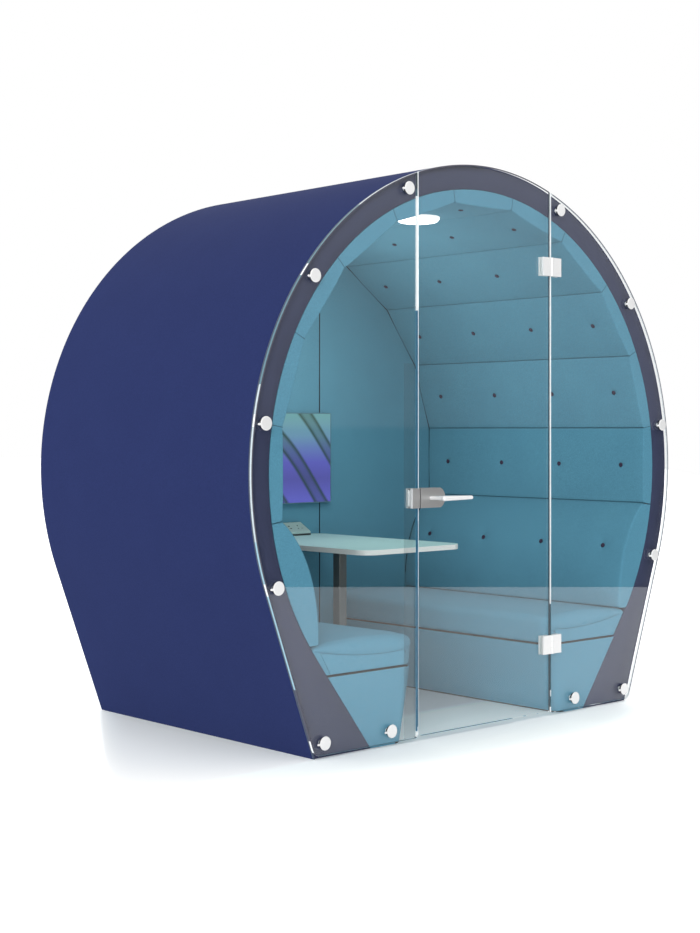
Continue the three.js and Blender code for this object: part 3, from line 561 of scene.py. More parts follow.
def dress(name, node, ease, slot, *materials, body="pod"):
    """A copy of a CAD node's shape with its edges eased, which then stands for the node."""
    mesh = nodes[node].data.copy()
    mesh.name = name
    mesh.materials.clear()
    with edited(mesh) as bm:
        merge_flat(bm, 1.0)
        crisp = [e for e in bm.edges if len(e.link_faces) == 2 and e.calc_face_angle(0) > radians(35)]
        bmesh.ops.bevel(bm, geom=crisp, offset=ease, offset_type="OFFSET", segments=2, profile=0.5,
                        affect="EDGES", clamp_overlap=True)
    return wear(level(finish_mesh(name, mesh, materials, 30)), slot, node, body=body)


def paint(obj, test, index=1):
    """Gives the faces that pass a test another of the piece's materials."""
    for face in obj.data.polygons:
        if test(face):
            face.material_index = index


def circle(x, z, radius):
    """A hole: it runs the other way round from an outline."""
    return [(x + radius * cos(a), z + radius * sin(a)) for a in np.linspace(2 * pi, 0, 40, endpoint=False)]


def box_outline(x0, x1, z0, z1):
    return [(x0, z0), (x1, z0), (x1, z1), (x0, z1)]


def tube(name, path, radius, *materials, mirror=False):
    """A thin round cord along a path, closed at its ends."""
    path = [Vector(p) for p in path]
    rings = []
    for i, point in enumerate(path):
        ahead = (path[min(i + 1, len(path) - 1)] - path[max(i - 1, 0)]).normalized()
        side = ahead.cross(Vector((0, 1, 0))) if abs(ahead.y) < 0.9 else ahead.cross(Vector((0, 0, 1)))
        side.normalize()
        up = side.cross(ahead)
        rings.append([tuple(point + radius * (side * cos(a) + up * sin(a))) for a in around(8)])
    return loft(name, rings, *materials, mirror=mirror)


def quarter(distance, radius):
    """How far a rounded edge falls away at a distance from the edge."""
    t = np.clip(1 - np.asarray(distance) / radius, 0, 1)
    return radius * (1 - np.sqrt(1 - t * t))


def stations(length, edge):
    """Places along a length, close together at both ends."""
    start = [0, 0.15 * edge, 0.35 * edge, 0.65 * edge, edge, 1.5 * edge, 2.3 * edge]
    count = max(2, round((length - 2 * start[-1]) / PAD_STEP))
    middle = np.linspace(start[-1], length - start[-1], count + 1)[1:-1]
    return np.array(start + list(middle) + [length - s for s in reversed(start)])


def tuft(dx, dy, turn):
    """Depth of a sewn tuft: a tight dimple in a wide hollow, with a few creases running out of it."""
    r = np.hypot(dx, dy)
    creases = np.cos(5 * np.arctan2(dy, dx) + turn) * np.exp(-((r - 0.016) / 0.013) ** 2)
    return 0.0052 * np.exp(-(r / 0.013) ** 2) + 0.0030 * np.exp(-(r / 0.042) ** 2) + 0.0006 * creases


def smooth_step(value, start, end):
    t = np.clip((np.asarray(value) - start) / (end - start), 0, 1)
    return t * t * (3 - 2 * t)


def points_of(obj):
    return np.array([vertex.co for vertex in obj.data.vertices])


def fill_out(obj, hold):
    """Lets a sewn cover swell under the pressure of its padding, and gives the settled points. Points with a
    hold of 1 are sewn down, and none moves further than the padding swells."""
    rest = points_of(obj)
    sewn = obj.vertex_groups.new(name="sewn")
    for index, weight in enumerate(hold):
        sewn.add([index], float(weight), "REPLACE")
    cloth = obj.modifiers.new("padding", "CLOTH")
    cloth.settings.vertex_group_mass = "sewn"
    cloth.settings.use_pressure = True
    cloth.settings.uniform_pressure_force = PRESSURE
    cloth.settings.effector_weights.gravity = 0
    cloth.point_cache.frame_end = SETTLE_FRAMES
    for step in range(1, SETTLE_FRAMES + 1):
        scene.frame_set(step)
    moved = points_of(obj.evaluated_get(bpy.context.evaluated_depsgraph_get())) - rest
    obj.modifiers.remove(cloth)
    obj.vertex_groups.remove(sewn)
    scene.frame_set(1)
    far = np.linalg.norm(moved, axis=1)
    return rest + moved * np.minimum(1.0, PAD_SWELL / np.maximum(far, 1e-9))[:, None]


def pad_pair(name, rings, mat, hold):
    """A pad on the right, filled out, and its mirrored twin on the left with the same settled points."""
    settled = None
    for side, flip in SIDES:
        pad = loft(f"{name}_{side}", rings, mat, gap_shade_felt, sharp=60, mirror=flip)
        if settled is None:
            settled = fill_out(pad, hold(pad))
        points = settled * (-1, 1, 1) if flip else settled
        pad.data.vertices.foreach_set("co", points.astype(np.float32).ravel())
        pad.data.update()
        yield side, flip, pad


# Camera and stage

FOCAL_PX = 1559.37
IMAGE_LONG = 933
HORIZON_PX = 430.28
SENSOR = 36
camera_data = bpy.data.cameras.new("camera")
camera_data.sensor_width = SENSOR
camera_data.lens = FOCAL_PX * SENSOR / IMAGE_LONG
camera_data.shift_y = (HORIZON_PX - IMAGE_LONG / 2) / IMAGE_LONG
camera = bpy.data.objects.new("camera", camera_data)
camera.location = (-4.6791, -4.2859 + FRONT_Y, 1.2020)
camera.rotation_euler = (pi / 2, 0, radians(-42.607))
scene.collection.objects.link(camera)
scene.camera = camera
scene.view_settings.view_transform = "Standard"

FLOOR_WHITE = (0.97, 0.97, 0.972)
FLOOR_EDGE = Vector((3.418, -4.543 + FRONT_Y, -0.0005))
FLOOR_ALONG = Vector((0.736, 0.677, 0)) * 60
FLOOR_BACK = Vector((-0.677, 0.736, 0)) * 90


def seen_rays(tree):
    """One for rays that the camera sees by, directly, in metal or through glass, and nought for the light."""
    path = add_node(tree, "LightPath").outputs
    direct = calc(tree, "MAXIMUM", path["Is Camera Ray"], path["Is Glossy Ray"])
    return calc(tree, "MAXIMUM", direct, path["Is Transmission Ray"])


def mirrored_rays(tree):
    return calc(tree, "GREATER_THAN", add_node(tree, "LightPath").outputs["Glossy Depth"], 0.5)


def build_floor():
    """A white floor that ends at a straight edge in front of the pod, which the glass mirrors. Its colour
    holds painted light: a painted shadow round the pod, painted shade deep inside it, a painted teal light on
    the floor under it and a painted cyan light in front of the glass.
    """
    near, far = FLOOR_EDGE, FLOOR_EDGE + FLOOR_BACK
    corners = [near + FLOOR_ALONG, near - FLOOR_ALONG, far - FLOOR_ALONG, far + FLOOR_ALONG]
    mesh = bpy.data.meshes.new("floor")
    mesh.from_pydata([tuple(corner) for corner in corners], [], [(0, 1, 2, 3)])
    floor = bpy.data.objects.new("floor", mesh)
    scene.collection.objects.link(floor)
    mat, tree, bsdf = material("floor_white", FLOOR_WHITE, 0.9, Specular_IOR_Level=0.1)
    at = place(tree)
    x, y = at["X"], at["Y"]

    def past(axis, start, length, power=3):
        """How far the floor lies past a place along one axis, as a share of a length, raised to a power."""
        share = calc(tree, "MULTIPLY", calc(tree, "SUBTRACT", axis, start), 1 / length)
        return calc(tree, "POWER", calc(tree, "MAXIMUM", share, 0.0), power)

    def added(*values):
        total = values[0]
        for value in values[1:]:
            total = calc(tree, "ADD", total, value)
        return total

    under = calc(tree, "MULTIPLY", calc(tree, "COMPARE", y, FRONT_Y + GLASS_Y[0] + DEPTH / 2, DEPTH / 2),
                 calc(tree, "COMPARE", x, 0.0, 0.6))
    # A painted shadow round the pod: it fades with distance, and beside the left wall it ends along a
    # slanting line
    slant = added(y, calc(tree, "MULTIPLY", past(x, -0.94, -1.0, 1), 1.5))
    distance = added(past(x, 0.0, -1.30), past(x, 0.0, 0.68), past(y, 0.03, -0.70),
                     past(slant, 0.03, 0.64, 12))
    shadow = ramp(tree, calc(tree, "MULTIPLY", distance, 0.25), [
        (0.09, (0.0, 0.0, 0.012)), (0.135, (0.055, 0.053, 0.09)), (0.175, (0.09, 0.095, 0.13)),
        (0.235, (0.14, 0.15, 0.19)), (0.34, (0.20, 0.215, 0.25)), (0.50, (0.30, 0.305, 0.32)),
        (0.65, (0.39, 0.39, 0.40)), (0.95, 0.85),
    ])
    # A painted cyan light on the floor in front of the glass
    ahead = calc(tree, "MINIMUM", past(y, FRONT_Y + GLASS_Y[1], -0.015, 1), 1.0)
    open_floor = mixed(tree, ahead, shadow, (0.03, 0.085, 0.085), "ADD")
    # Painted shade on the floor deep inside the pod, and a painted teal light on the floor under it
    deep = calc(tree, "MULTIPLY", under, calc(tree, "MINIMUM", past(y, -0.27, 0.08, 1), 1.0))
    put(tree, bsdf.inputs["Base Color"], mixed(tree, deep, FLOOR_WHITE, (0.765, 0.70, 0.717)))
    seen_floor = mixed(tree, under, open_floor, (0.0, 0.105, 0.165))
    lift = add_node(tree, "BsdfDiffuse", mixed(tree, mirrored_rays(tree), seen_floor, grey(0.33)))
    plain = bsdf.outputs["BSDF"]
    lifted = add_node(tree, "AddShader", plain, lift.outputs["BSDF"]).outputs["Shader"]
    put(tree, tree.nodes["Material Output"].inputs["Surface"], shaders(tree, seen_rays(tree), plain, lifted))
    mesh.materials.append(mat)
    floor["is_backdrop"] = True


def build_world():
    """Soft light from all round, a white background, and the room that the glass mirrors."""
    world = bpy.data.worlds.new("studio")
    scene.world = world
    world.use_nodes = True
    tree = world.node_tree
    tree.nodes.clear()
    at = place(tree, "Generated")
    room = ramp(tree, at["Z"], [(0.0, 0.02), (0.001, 0.24), (0.07, 0.36), (0.14, 0.58), (0.25, 1.0)])
    behind = ramp(tree, at["Y"], [(0.2, 0.0), (0.45, 1.0)])
    tones = ((grey(1.0), 0.78), (grey(1.0), 1.0), (mixed(tree, behind, room, grey(1.0)), 1.0))
    soft, white, mirrored = [add_node(tree, "Background", *tone).outputs["Background"] for tone in tones]
    seen = shaders(tree, mirrored_rays(tree), white, mirrored)
    add_node(tree, "OutputWorld", shaders(tree, seen_rays(tree), soft, seen))


def add_lamp(name, kind, energy, location, **settings):
    data = bpy.data.lights.new(name, kind)
    data.energy = energy
    for setting, value in settings.items():
        setattr(data, setting, value)
    lamp = bpy.data.objects.new(name, data)
    lamp.location = location
    scene.collection.objects.link(lamp)
    return lamp


build_floor()
build_world()

# A broad soft light from the left, as even as a large studio panel far away
azimuth, elevation = radians(52), radians(14)
source = Vector((-sin(azimuth) * cos(elevation), -cos(azimuth) * cos(elevation), sin(elevation)))
key = add_lamp("key", "SUN", 1.3, source * 8, angle=radians(35))
key.rotation_euler = (-source).to_track_quat("-Z", "Y").to_euler()

# The light that the ceiling lamp spreads through the pod, softened
fill = add_lamp("fill", "POINT", 11, (0, FRONT_Y + 0.75, 1.5), shadow_soft_size=0.25, color=(1.0, 0.96, 0.88))
fill.visible_camera = False
fill.visible_glossy = False
fill.visible_transmission = False


# Shell, band and back wall

def build_shell():
    skin, lip, inside = SHELL_R, SHELL_R - SHELL_LIP, SHELL_R - SHELL_T
    roll, ease = 0.003, 0.001
    turns = [pi / 2 * i / 4 for i in range(5)]
    section = [(lip, BAND_T), (lip, ease), (lip + ease, 0.0)]
    section += [(skin - roll + roll * sin(t), roll - roll * cos(t)) for t in turns]
    section += [(skin, y) for y in np.linspace(0.02, DEPTH - 0.02, 12)]
    section += [(skin - roll + roll * cos(t), DEPTH - roll + roll * sin(t)) for t in turns]
    section += [(lip, DEPTH - ease), (lip, WALL_Y - FIT), (inside, WALL_Y - FIT), (inside, BAND_T + FIT)]
    section += [(lip, BAND_T + FIT)]
    shell = hoop("shell_skin", [(radius, SHELL_LEAN, y) for radius, y in section], shell_felt)
    wear(shell, "outer_fabric", "outer_shell")


def build_band():
    outer, ease = SHELL_R - SHELL_LIP - FIT, 0.0012
    section = [
        (outer - ease, SHELL_LEAN, 0.0), (outer, SHELL_LEAN, ease), (outer, SHELL_LEAN, BAND_T),
        (BAND_R, BAND_LEAN, BAND_T), (BAND_R, BAND_LEAN, ease), (BAND_R + ease, BAND_LEAN, 0.0),
    ]
    wear(hoop("front_fascia", section, band_board), "fascia_board", "front_band")


def clipped(points, x0, x1):
    """The part of a closed outline between two upright lines."""
    for sign, limit in ((1, x0), (-1, x1)):
        kept = []
        for (ax, az), (bx, bz) in zip(points, points[1:] + points[:1]):
            a_in, b_in = sign * (ax - limit) >= 0, sign * (bx - limit) >= 0
            if a_in:
                kept.append((ax, az))
            if a_in != b_in:
                kept.append((limit, az + (bz - az) * (limit - ax) / (bx - ax)))
        points = kept
    return points


def build_wall_joint(side, x):
    reach, high = 0.0036, sqrt(PANEL_FACE ** 2 - x ** 2) + ARCH_Z + 0.06
    trim = plate(f"wall_joint_{side}", [box_outline(x - reach, x + reach, 0.02, high)],
                 (WALL_Y + 0.0008, WALL_Y + 0.0018), 0.0002, shadow_felt)
    wear(trim, "lining_fabric")


def build_back_wall():
    outline = arch_path(SHELL_R - SHELL_LIP - FIT, SHELL_LEAN)
    roll, half, depth = 0.003, 0.002, (WALL_Y, WALL_Y + WALL_T)
    edges = [-2, -WALL_JOINT_X, WALL_JOINT_X, 2]
    for i, side in enumerate(("left", "centre", "right")):
        span = edges[i] + half, edges[i + 1] - half
        pad = plate(f"back_pad_{side}", [clipped(outline, *span)], depth, roll, lining_felt)
        wear(pad, "lining_fabric", f"back_wall_{side}")
        if side == "centre":
            build_wall_joint("left", -WALL_JOINT_X)
            build_wall_joint("right", WALL_JOINT_X)
    cover = plate("rear_skin", [outline], (depth[1] + FIT, DEPTH), roll, shell_felt)
    wear(cover, "outer_fabric", "rear_cover")


build_shell()
build_band()
build_back_wall()


# Lining panels, drawn at the top of the arch and carried round its centre

def on_arch(panels, points):
    """Points carried round the arch by a number of panels."""
    turn = Matrix.Rotation(panels * PITCH, 3, "Y")
    return [tuple(turn @ Vector(point) + Vector((0, 0, ARCH_Z))) for point in points]


# The back ends of the pads where they meet the wall, which take painted shade
def at_wall(face):
    return face.center.y > FRONT_Y + LINING_BACK - 0.0016


def build_panels():
    edge = 0.0045
    width = 2 * (PANEL_FACE * tan(PITCH / 2) - JOINT / 2)
    across = stations(width, edge) / width * 2 - 1
    from_side = (1 - np.abs(across)) * width / 2
    sides_fall = quarter(from_side, edge) + 0.0028 * across ** 2 + 0.0016 * np.exp(-from_side / 0.018)
    arc_half = PITCH / 2 - JOINT / 2 / PANEL_OUT_R
    arc = [(PANEL_OUT_R * sin(a), PANEL_OUT_R * cos(a)) for a in np.linspace(arc_half, -arc_half, 7)]
    for k in range(-PANELS_EACH_SIDE, PANELS_EACH_SIDE + 1):
        rings = []
        for y in stations(LINING_BACK, edge):
            from_end = min(y, LINING_BACK - y)
            z = PANEL_FACE + (sides_fall + quarter(from_end, edge) + 0.0018 * exp(-from_end / 0.022))
            x = across * (z * tan(PITCH / 2) - JOINT / 2)
            for i, centre in enumerate(BUTTON_Y):
                z = z + tuft(x, y - centre, 1.7 * k + 0.9 * i)
            rings.append(on_arch(k, [(px, y, pz) for px, pz in list(zip(x, z)) + arc]))
        number = f"{k + PANELS_EACH_SIDE + 1:02d}"
        panel = loft(f"lining_pad_{number}", rings, lining_felt, gap_shade_felt, sharp=60)
        # Painted shade on the panel's back end, where it meets the wall
        paint(panel, at_wall)
        wear(panel, "lining_fabric", f"lining_panel_{number}")


def backrest_face(steps):
    """Points down the curved face of a backrest, the way out of it into the cabin, and the distance run."""
    t = np.linspace(0, 1, steps)[:, None]
    p = np.array(BACKREST_FACE)
    points = (1 - t) ** 3 * p[0] + 3 * (1 - t) ** 2 * t * p[1] + 3 * (1 - t) * t ** 2 * p[2] + t ** 3 * p[3]
    slope = np.gradient(points, axis=0)
    slope /= np.linalg.norm(slope, axis=1)[:, None]
    inward = np.stack([slope[:, 1], -slope[:, 0]], axis=1)
    run = np.concatenate([[0], np.cumsum(np.linalg.norm(np.diff(points, axis=0), axis=1))])
    return points, inward, run


def backrest_hold(pad):
    """Sewn down round the edges, behind, and at the buttons."""
    steps = 200
    points = backrest_face(steps)[0]
    at = points[int(BACKREST_BUTTON_T * (steps - 1))]
    x, y, z = points_of(pad).T
    y = y - FRONT_Y
    free = smooth_step(np.minimum(y, LINING_BACK - y), 0.012, 0.06)
    free = free * smooth_step(BACKREST_FACE[0][1] - z, 0.02, 0.07) * smooth_step(z, 0.435, 0.49)
    free = free * (x < np.interp(z, points[::-1, 1], points[::-1, 0]) + 0.02)
    for centre in BUTTON_Y:
        away = np.sqrt((x - at[0]) ** 2 + (y - centre) ** 2 + (z - at[1]) ** 2)
        free = free * smooth_step(away, 0.022, 0.05)
    return 1 - free


def build_backrests():
    edge = 0.009
    points, inward, run = backrest_face(58)
    button_run = np.interp(BACKREST_BUTTON_T, np.linspace(0, 1, len(run)), run)
    top_angle = (PANELS_EACH_SIDE + 0.5) * PITCH + JOINT / PANEL_OUT_R
    low_angle = acos((BACKREST_BOTTOM - ARCH_Z) / PANEL_OUT_R)
    angles = np.linspace(low_angle, top_angle, 9)
    arc = [(PANEL_OUT_R * sin(a), ARCH_Z + PANEL_OUT_R * cos(a)) for a in angles]
    toe = [(0.8861, 0.424), (0.8868, 0.4185), (0.8885, 0.4152), (0.892, 0.4135), (0.898, BACKREST_BOTTOM)]
    rings = []
    for y in stations(LINING_BACK, edge):
        from_end = min(y, LINING_BACK - y)
        fall = quarter(from_end, edge) + 0.003 * exp(-from_end / 0.03)
        sunk = quarter(run, edge) * 0.3 + fall
        for i, centre in enumerate(BUTTON_Y):
            sunk = sunk + 1.3 * tuft(run - button_run, y - centre, 0.8 * i)
        face = points - inward * sunk[:, None]
        section = list(map(tuple, face)) + [(x + fall, z) for x, z in toe] + arc
        rings.append([(x, y, z) for x, z in section])
    top_x, top_z = BACKREST_FACE[0]
    welt = [(top_x + 0.0022, y, top_z - 0.0001) for y in np.linspace(0.004, LINING_BACK - 0.004, 40)]
    for side, flip, pad in pad_pair("backrest_pad", rings, lining_felt, backrest_hold):
        # Painted shade on the backrest's back end, where it meets the wall
        paint(pad, at_wall)
        wear(pad, "lining_fabric", f"backrest_{side}")
        # A welt along the top of each backrest, darker than the lining: painted shade in the slot there
        wear(tube(f"backrest_welt_{side}", welt, 0.0030, joint_shade_felt, mirror=flip), "lining_fabric")


def build_buttons():
    """Covered buttons, all in one piece: four on each lining panel and on each backrest."""
    profile = [(POINT, 0.0042), (0.35, 0.0040), (0.65, 0.0033), (0.88, 0.0020), (1.0, 0.0004),
               (0.96, -0.0010), (0.85, -0.0020), (POINT, -0.0020)]
    dome = turned([(r * BUTTON_R, h) for r, h in profile], 18)
    steps = 400
    points, inward, _ = backrest_face(steps)
    at = int(BACKREST_BUTTON_T * (steps - 1))
    seats = []
    for k in range(-PANELS_EACH_SIDE, PANELS_EACH_SIDE + 1):
        out = Vector((sin(k * PITCH), 0, cos(k * PITCH)))
        seats += [(Vector((0, y, ARCH_Z)) + out * (PANEL_FACE + 0.0035), -out) for y in BUTTON_Y]
    for sign in (1, -1):
        up = Vector((sign * inward[at][0], 0, inward[at][1]))
        seats += [(Vector((sign * points[at][0], y, points[at][1])) - up * 0.0045, up) for y in BUTTON_Y]
    domes = []
    for seat, up in seats:
        pose = Matrix.Translation(seat) @ up.to_track_quat("Z", "Y").to_matrix().to_4x4()
        domes.append([[pose @ Vector(point) for point in ring] for ring in dome])
    wear(make("tuft_buttons", *joined(domes), button_felt), "lining_fabric")


def build_joint_lines():
    """Dark strips in the joints between the panels, which paint the shade in the joints, and a dark cord
    where the lining meets the wall, which paints the shadow in that corner.
    """
    whole_depth, front_depth = (0.0012, LINING_BACK / 2, LINING_BACK - 0.001), (-0.0005, -0.0001)
    strips = (
        (JOINT / 2 - 0.0001, MITRE_R + 0.014, PANEL_OUT_R - 0.002, whole_depth),
        (0.0017, MITRE_R + 0.005, BAND_R - 0.0005, front_depth),
    )
    lofts = []
    for half, inner, outer, depths in strips:
        section = [(half, inner), (half, outer), (-half, outer), (-half, inner)]
        for k in range(-PANELS_EACH_SIDE, PANELS_EACH_SIDE):
            lofts.append([on_arch(k + 0.5, [(x, y, z) for x, z in section]) for y in depths])
    wear(make("lining_joints", *joined(lofts), joint_shade_felt), "lining_fabric")
    points, inward, _ = backrest_face(30)
    sunk, y = 0.0032, LINING_BACK - 0.0016
    side = [(x, y, z) for x, z in (points - inward * sunk)[::-1][2:-1]]
    corner = MITRE_R + sunk
    turns = [(k + 0.5) * PITCH for k in range(PANELS_EACH_SIDE, -PANELS_EACH_SIDE - 2, -1)]
    over = [(corner * sin(a), y, ARCH_Z + corner * cos(a)) for a in turns]
    path = side + over + [(-x, y, z) for x, y, z in reversed(side)]
    wear(tube("corner_shadow_line", path, 0.0017, shadow_felt), "lining_fabric")


build_panels()
build_backrests()
build_buttons()
build_joint_lines()


# Benches

def corner_inset(y):
    inside = max(SEAT_CORNER - y, 0)
    return SEAT_CORNER - sqrt(SEAT_CORNER ** 2 - inside ** 2)


def bench_stations():
    front = [0, 0.0008, 0.002, 0.004, 0.0065, 0.010, 0.0145, 0.020, 0.027, 0.035, 0.045, 0.06, 0.08, 0.11]
    return front + list(np.linspace(0.14, LINING_BACK, 46))


def end_seam_z(x):
    """Height of the sewn line across the end of a cushion, where the top cover meets the end panel."""
    run = x - 0.545
    return 0.353 + (0.277 if run > 0 else 0.6) * run * run


def cushion_ring(y):
    """The cover rolls over the end of the cushion and tucks in above the end panel. Points of the section are
    x, their share of the roll, and z."""
    reach, overhang, tuck, clear = 0.034, 0.0045, radians(118), 0.003
    turned_by = tuck * max(0.0, 1 - y / reach)
    rolled = (1 - cos(turned_by)) / (1 - cos(tuck))
    forward = reach - (reach + overhang) * sin(turned_by) - y if y < reach else 0.0
    aisle = SEAT_AISLE + corner_inset(y)
    edge = 0.030 - 0.023 * rolled
    back, front = BACKREST_FACE[3][0] - 0.006, aisle + edge

    def top(x):
        s = min(1.0, max(0.0, (back - x) / (back - front)))
        plain = SEAT_TOP + SEAT_CROWN * (1 - (2 * s - 1) ** 2)
        return plain + (end_seam_z(x) - plain) * rolled

    def band_x(z):
        return sqrt(BAND_R ** 2 - (z - ARCH_Z) ** 2) - 1.5 * clear

    ring = [(aisle + 0.013, 0, SEAT_BOTTOM), (0.6, 0, SEAT_BOTTOM)]
    for z in (SEAT_BOTTOM, *np.linspace(0.32, 0.384, 5)):
        on_leg = z < ARCH_Z - BAND_R * sin(BAND_LEAN)
        ring.append((leg_x(BAND_R, BAND_LEAN, z) - clear if on_leg else band_x(z), 0, z))
    rim = band_x(0.395)
    ring += [(rim, 0.3, 0.393 - 0.004 * rolled), (rim - 0.004, 0.7, 0.401 - 0.010 * rolled)]
    ring += [(x, 1, top(x)) for x in (rim - 0.012, *(back + (front - back) * np.linspace(0, 1, 30)))]
    rest = top(front)
    for turn in [pi / 2 * i / 8 for i in range(1, 9)]:
        ring.append((front - edge * sin(turn), cos(turn), rest - edge * (1 - cos(turn))))
    low = SEAT_BOTTOM + 0.010
    swell = 0.002 * (1 - exp(-y / 0.02))
    for s in (0.3, 0.6, 0.85):
        ring.append((aisle + 0.004 * s - swell * sin(pi * s), 0, rest - edge + (low - rest + edge) * s))
    ring += [(aisle + x, 0, SEAT_BOTTOM + z) for x, z in ((0.0045, 0.010), (0.0065, 0.004), (0.010, 0.001))]
    start = END_TUCK * (1 - y / LINING_BACK)
    return [(x, start + y + forward * share, z) for x, share, z in ring]


def end_panel_ring(x_top, x_low):
    """One upright line of a cushion's end panel, from its tucked top edge down and back behind."""
    high, low = end_seam_z(x_top) - 0.0008, SEAT_BOTTOM + 0.0015
    front = []
    for s in (0.0, 0.015, 0.05, 0.15, 0.3, 0.5, 0.7, 0.85, 0.95, 0.985, 1.0):
        lean = END_TUCK - 0.001 - 0.0045 * s - 0.0012 * sin(pi * s)
        ease = 0.0012 * (max(0.0, 1 - s / 0.05) ** 2 + max(0.0, 1 - (1 - s) / 0.05) ** 2)
        front.append((x_top + (x_low - x_top) * s, lean + ease, high + (low - high) * s))
    back = END_TUCK + 0.001
    return front + [(x_low, back, low), (x_top, back, high)]


def base_ring(y):
    """Section of a bench base, which stands inside the band and reaches out to the shell behind it."""
    soft, inset = 0.008, corner_inset(y)
    in_band, in_shell = (BAND_R, BAND_LEAN, 0.001), (BAND_R + 0.0015, SHELL_LEAN, 0.003)
    radius, lean, clear = in_band if y < BAND_T + 0.0004 else in_shell

    def aisle(z):
        return BASE_AISLE_FOOT + (BASE_AISLE_TOP - BASE_AISLE_FOOT) * z / BASE_TOP + inset

    ring = [(aisle(0) + 0.003, 0.0)] + [(leg_x(radius, lean, z) - clear, z) for z in (0.0, 0.15, BASE_TOP)]
    ring += [(0.6, BASE_TOP), (aisle(BASE_TOP) + soft, BASE_TOP)]
    for turn in [pi / 2 * i / 5 for i in range(1, 6)]:
        z = BASE_TOP - soft * (1 - cos(turn))
        ring.append((aisle(z) + soft - soft * sin(turn), z))
    ring += [(aisle(z) - 0.0015 * sin(pi * z / BASE_TOP), z) for z in (0.22, 0.16, 0.10, 0.05)]
    ring += [(aisle(0.006), 0.006)]
    return [(x, y, z) for x, z in ring]


def cushion_hold(pad):
    """Sewn down underneath, at the rolled end, at the back end, and where the backrest presses on it."""
    x, y, z = points_of(pad).T
    y = y - FRONT_Y
    free = smooth_step(np.minimum(y, LINING_BACK - y), 0.05, 0.12)
    free = free * smooth_step(BACKREST_FACE[3][0] - x, 0.0, 0.06)
    return 1 - free * smooth_step(z, SEAT_BOTTOM + 0.012, SEAT_BOTTOM + 0.05)


def build_benches():
    cushion = [cushion_ring(y) for y in bench_stations()]
    base = [base_ring(y) for y in sorted(bench_stations() + [BAND_T + FIT, BAND_T + 0.0005])]
    columns = list(zip(np.linspace(0.883, 0.449, 34), np.linspace(0.834, 0.455, 34)))
    end_panel = [end_panel_ring(x_top, x_low) for x_top, x_low in columns]
    across = [(x, END_TUCK - 0.0008, end_seam_z(x) - 0.0002) for x, _ in columns]
    tack = [(0.4452 - 0.0006 * i, END_TUCK - 0.001, 0.3462 + 0.0014 * i) for i in range(4)]
    # The seam across each cushion's end is darker than the seat: painted shade of the crease where the roll
    # tucks in
    seams = {"across": (across, 0.0009, seam_shade_felt), "tack": (tack, 0.0019, button_felt)}
    for side, flip, pad in pad_pair("seat_pad", cushion, seat_felt, cushion_hold):
        # Painted shade on the cushion's underside, in the gap above the base
        paint(pad, lambda face: face.center.z < SEAT_BOTTOM + FIT)
        wear(pad, "seat_fabric", f"seat_cushion_{side}")
        wear(loft(f"seat_end_{side}", end_panel, seat_felt, sharp=50, mirror=flip), "seat_fabric")
        box = loft(f"bench_box_{side}", base, seat_felt, gap_shade_felt, sharp=50, mirror=flip)
        # Painted shade on the base's top, in the gap under the cushion, and a painted shadow along its foot
        paint(box, lambda face: face.center.z > BASE_TOP - FIT or face.center.z < 0.004)
        wear(box, "seat_fabric", f"seat_base_{side}")
        for part, (path, radius, mat) in seams.items():
            wear(tube(f"seam_{part}_{side}", path, radius, mat, mirror=flip), "seat_fabric")


build_benches()


# Glass front

def standoff_places():
    """Centres of the standoffs by name, down each side of the arch and along its foot."""
    arch = [(STANDOFF_R * sin(radians(a)), ARCH_Z + STANDOFF_R * cos(radians(a))) for a in STANDOFF_ANGLES]
    return {f"{side}_{i + 1}": (sign * x, z) for side, sign in (("left", -1), ("right", 1))
            for i, (x, z) in enumerate(arch + STANDOFF_FEET)}


def rounded_corner(before, corner, after, radius):
    """Points of a rounded corner between two straight edges."""
    b, c, a = Vector(before), Vector(corner), Vector(after)
    start = c + (b - c).normalized() * radius
    end = c + (a - c).normalized() * radius
    return [tuple((1 - t) ** 2 * start + 2 * t * (1 - t) * c + t ** 2 * end) for t in np.linspace(0, 1, 8)]


def glass_outline(x0, x1, foot, corner):
    points = clipped(arch_path(GLASS_R, SHELL_LEAN, foot), x0, x1)
    rounded = []
    for i, point in enumerate(points):
        if abs(point[1] - foot) < 1e-6:
            rounded += rounded_corner(points[i - 1], point, points[(i + 1) % len(points)], corner(point[0]))
        else:
            rounded.append(point)
    return rounded


def build_glass():
    hole, near = 0.0068, 0.002
    holes = list(standoff_places().values())
    for z in HINGE_Z.values():
        holes += [(HINGE_AXIS[0] + dx, z + dz) for dx in (-0.0335, 0.0335) for dz in (-0.0195, 0.0195)]
    for name, span in SHEET_SPANS.items():
        door = name == "door"
        foot, foot_mat = (DOOR_FOOT, door_foot_glints) if door else (GLASS_FOOT, foot_edge_glints)
        corner = lambda x: 0.008 if door else 0.030 if abs(x) > 0.5 else 0.014
        loops = [glass_outline(*span, foot, corner)]
        loops += [circle(x, z, hole) for x, z in holes if span[0] < x < span[1]]
        stiles = [mat for key, mat in stile_edges.items() if key.startswith(name)]
        finishes = [glass, *rim_edges, foot_mat, *stiles]
        sheet = plate(f"glass_sheet_{name}", loops, GLASS_Y, 0.0012, *finishes, sharp=25)
        ends = [x for x in span if abs(x) < 1]
        # The edge faces take the painted reflections: one set of bands for the left rim, another for the
        # right, and their own for the foot and for each stile
        for face in [face for face in sheet.data.polygons if abs(face.normal.y) < 0.9]:
            face.material_index = 1 if face.center.x < 0 else 2
            if face.center.z < foot + near:
                face.material_index = 3
            for index, end in enumerate(ends):
                if abs(face.center.x - end) < near:
                    face.material_index = 4 + index
        wear(sheet, "clear_glass", f"glass_{name}", body="door" if door else "pod")


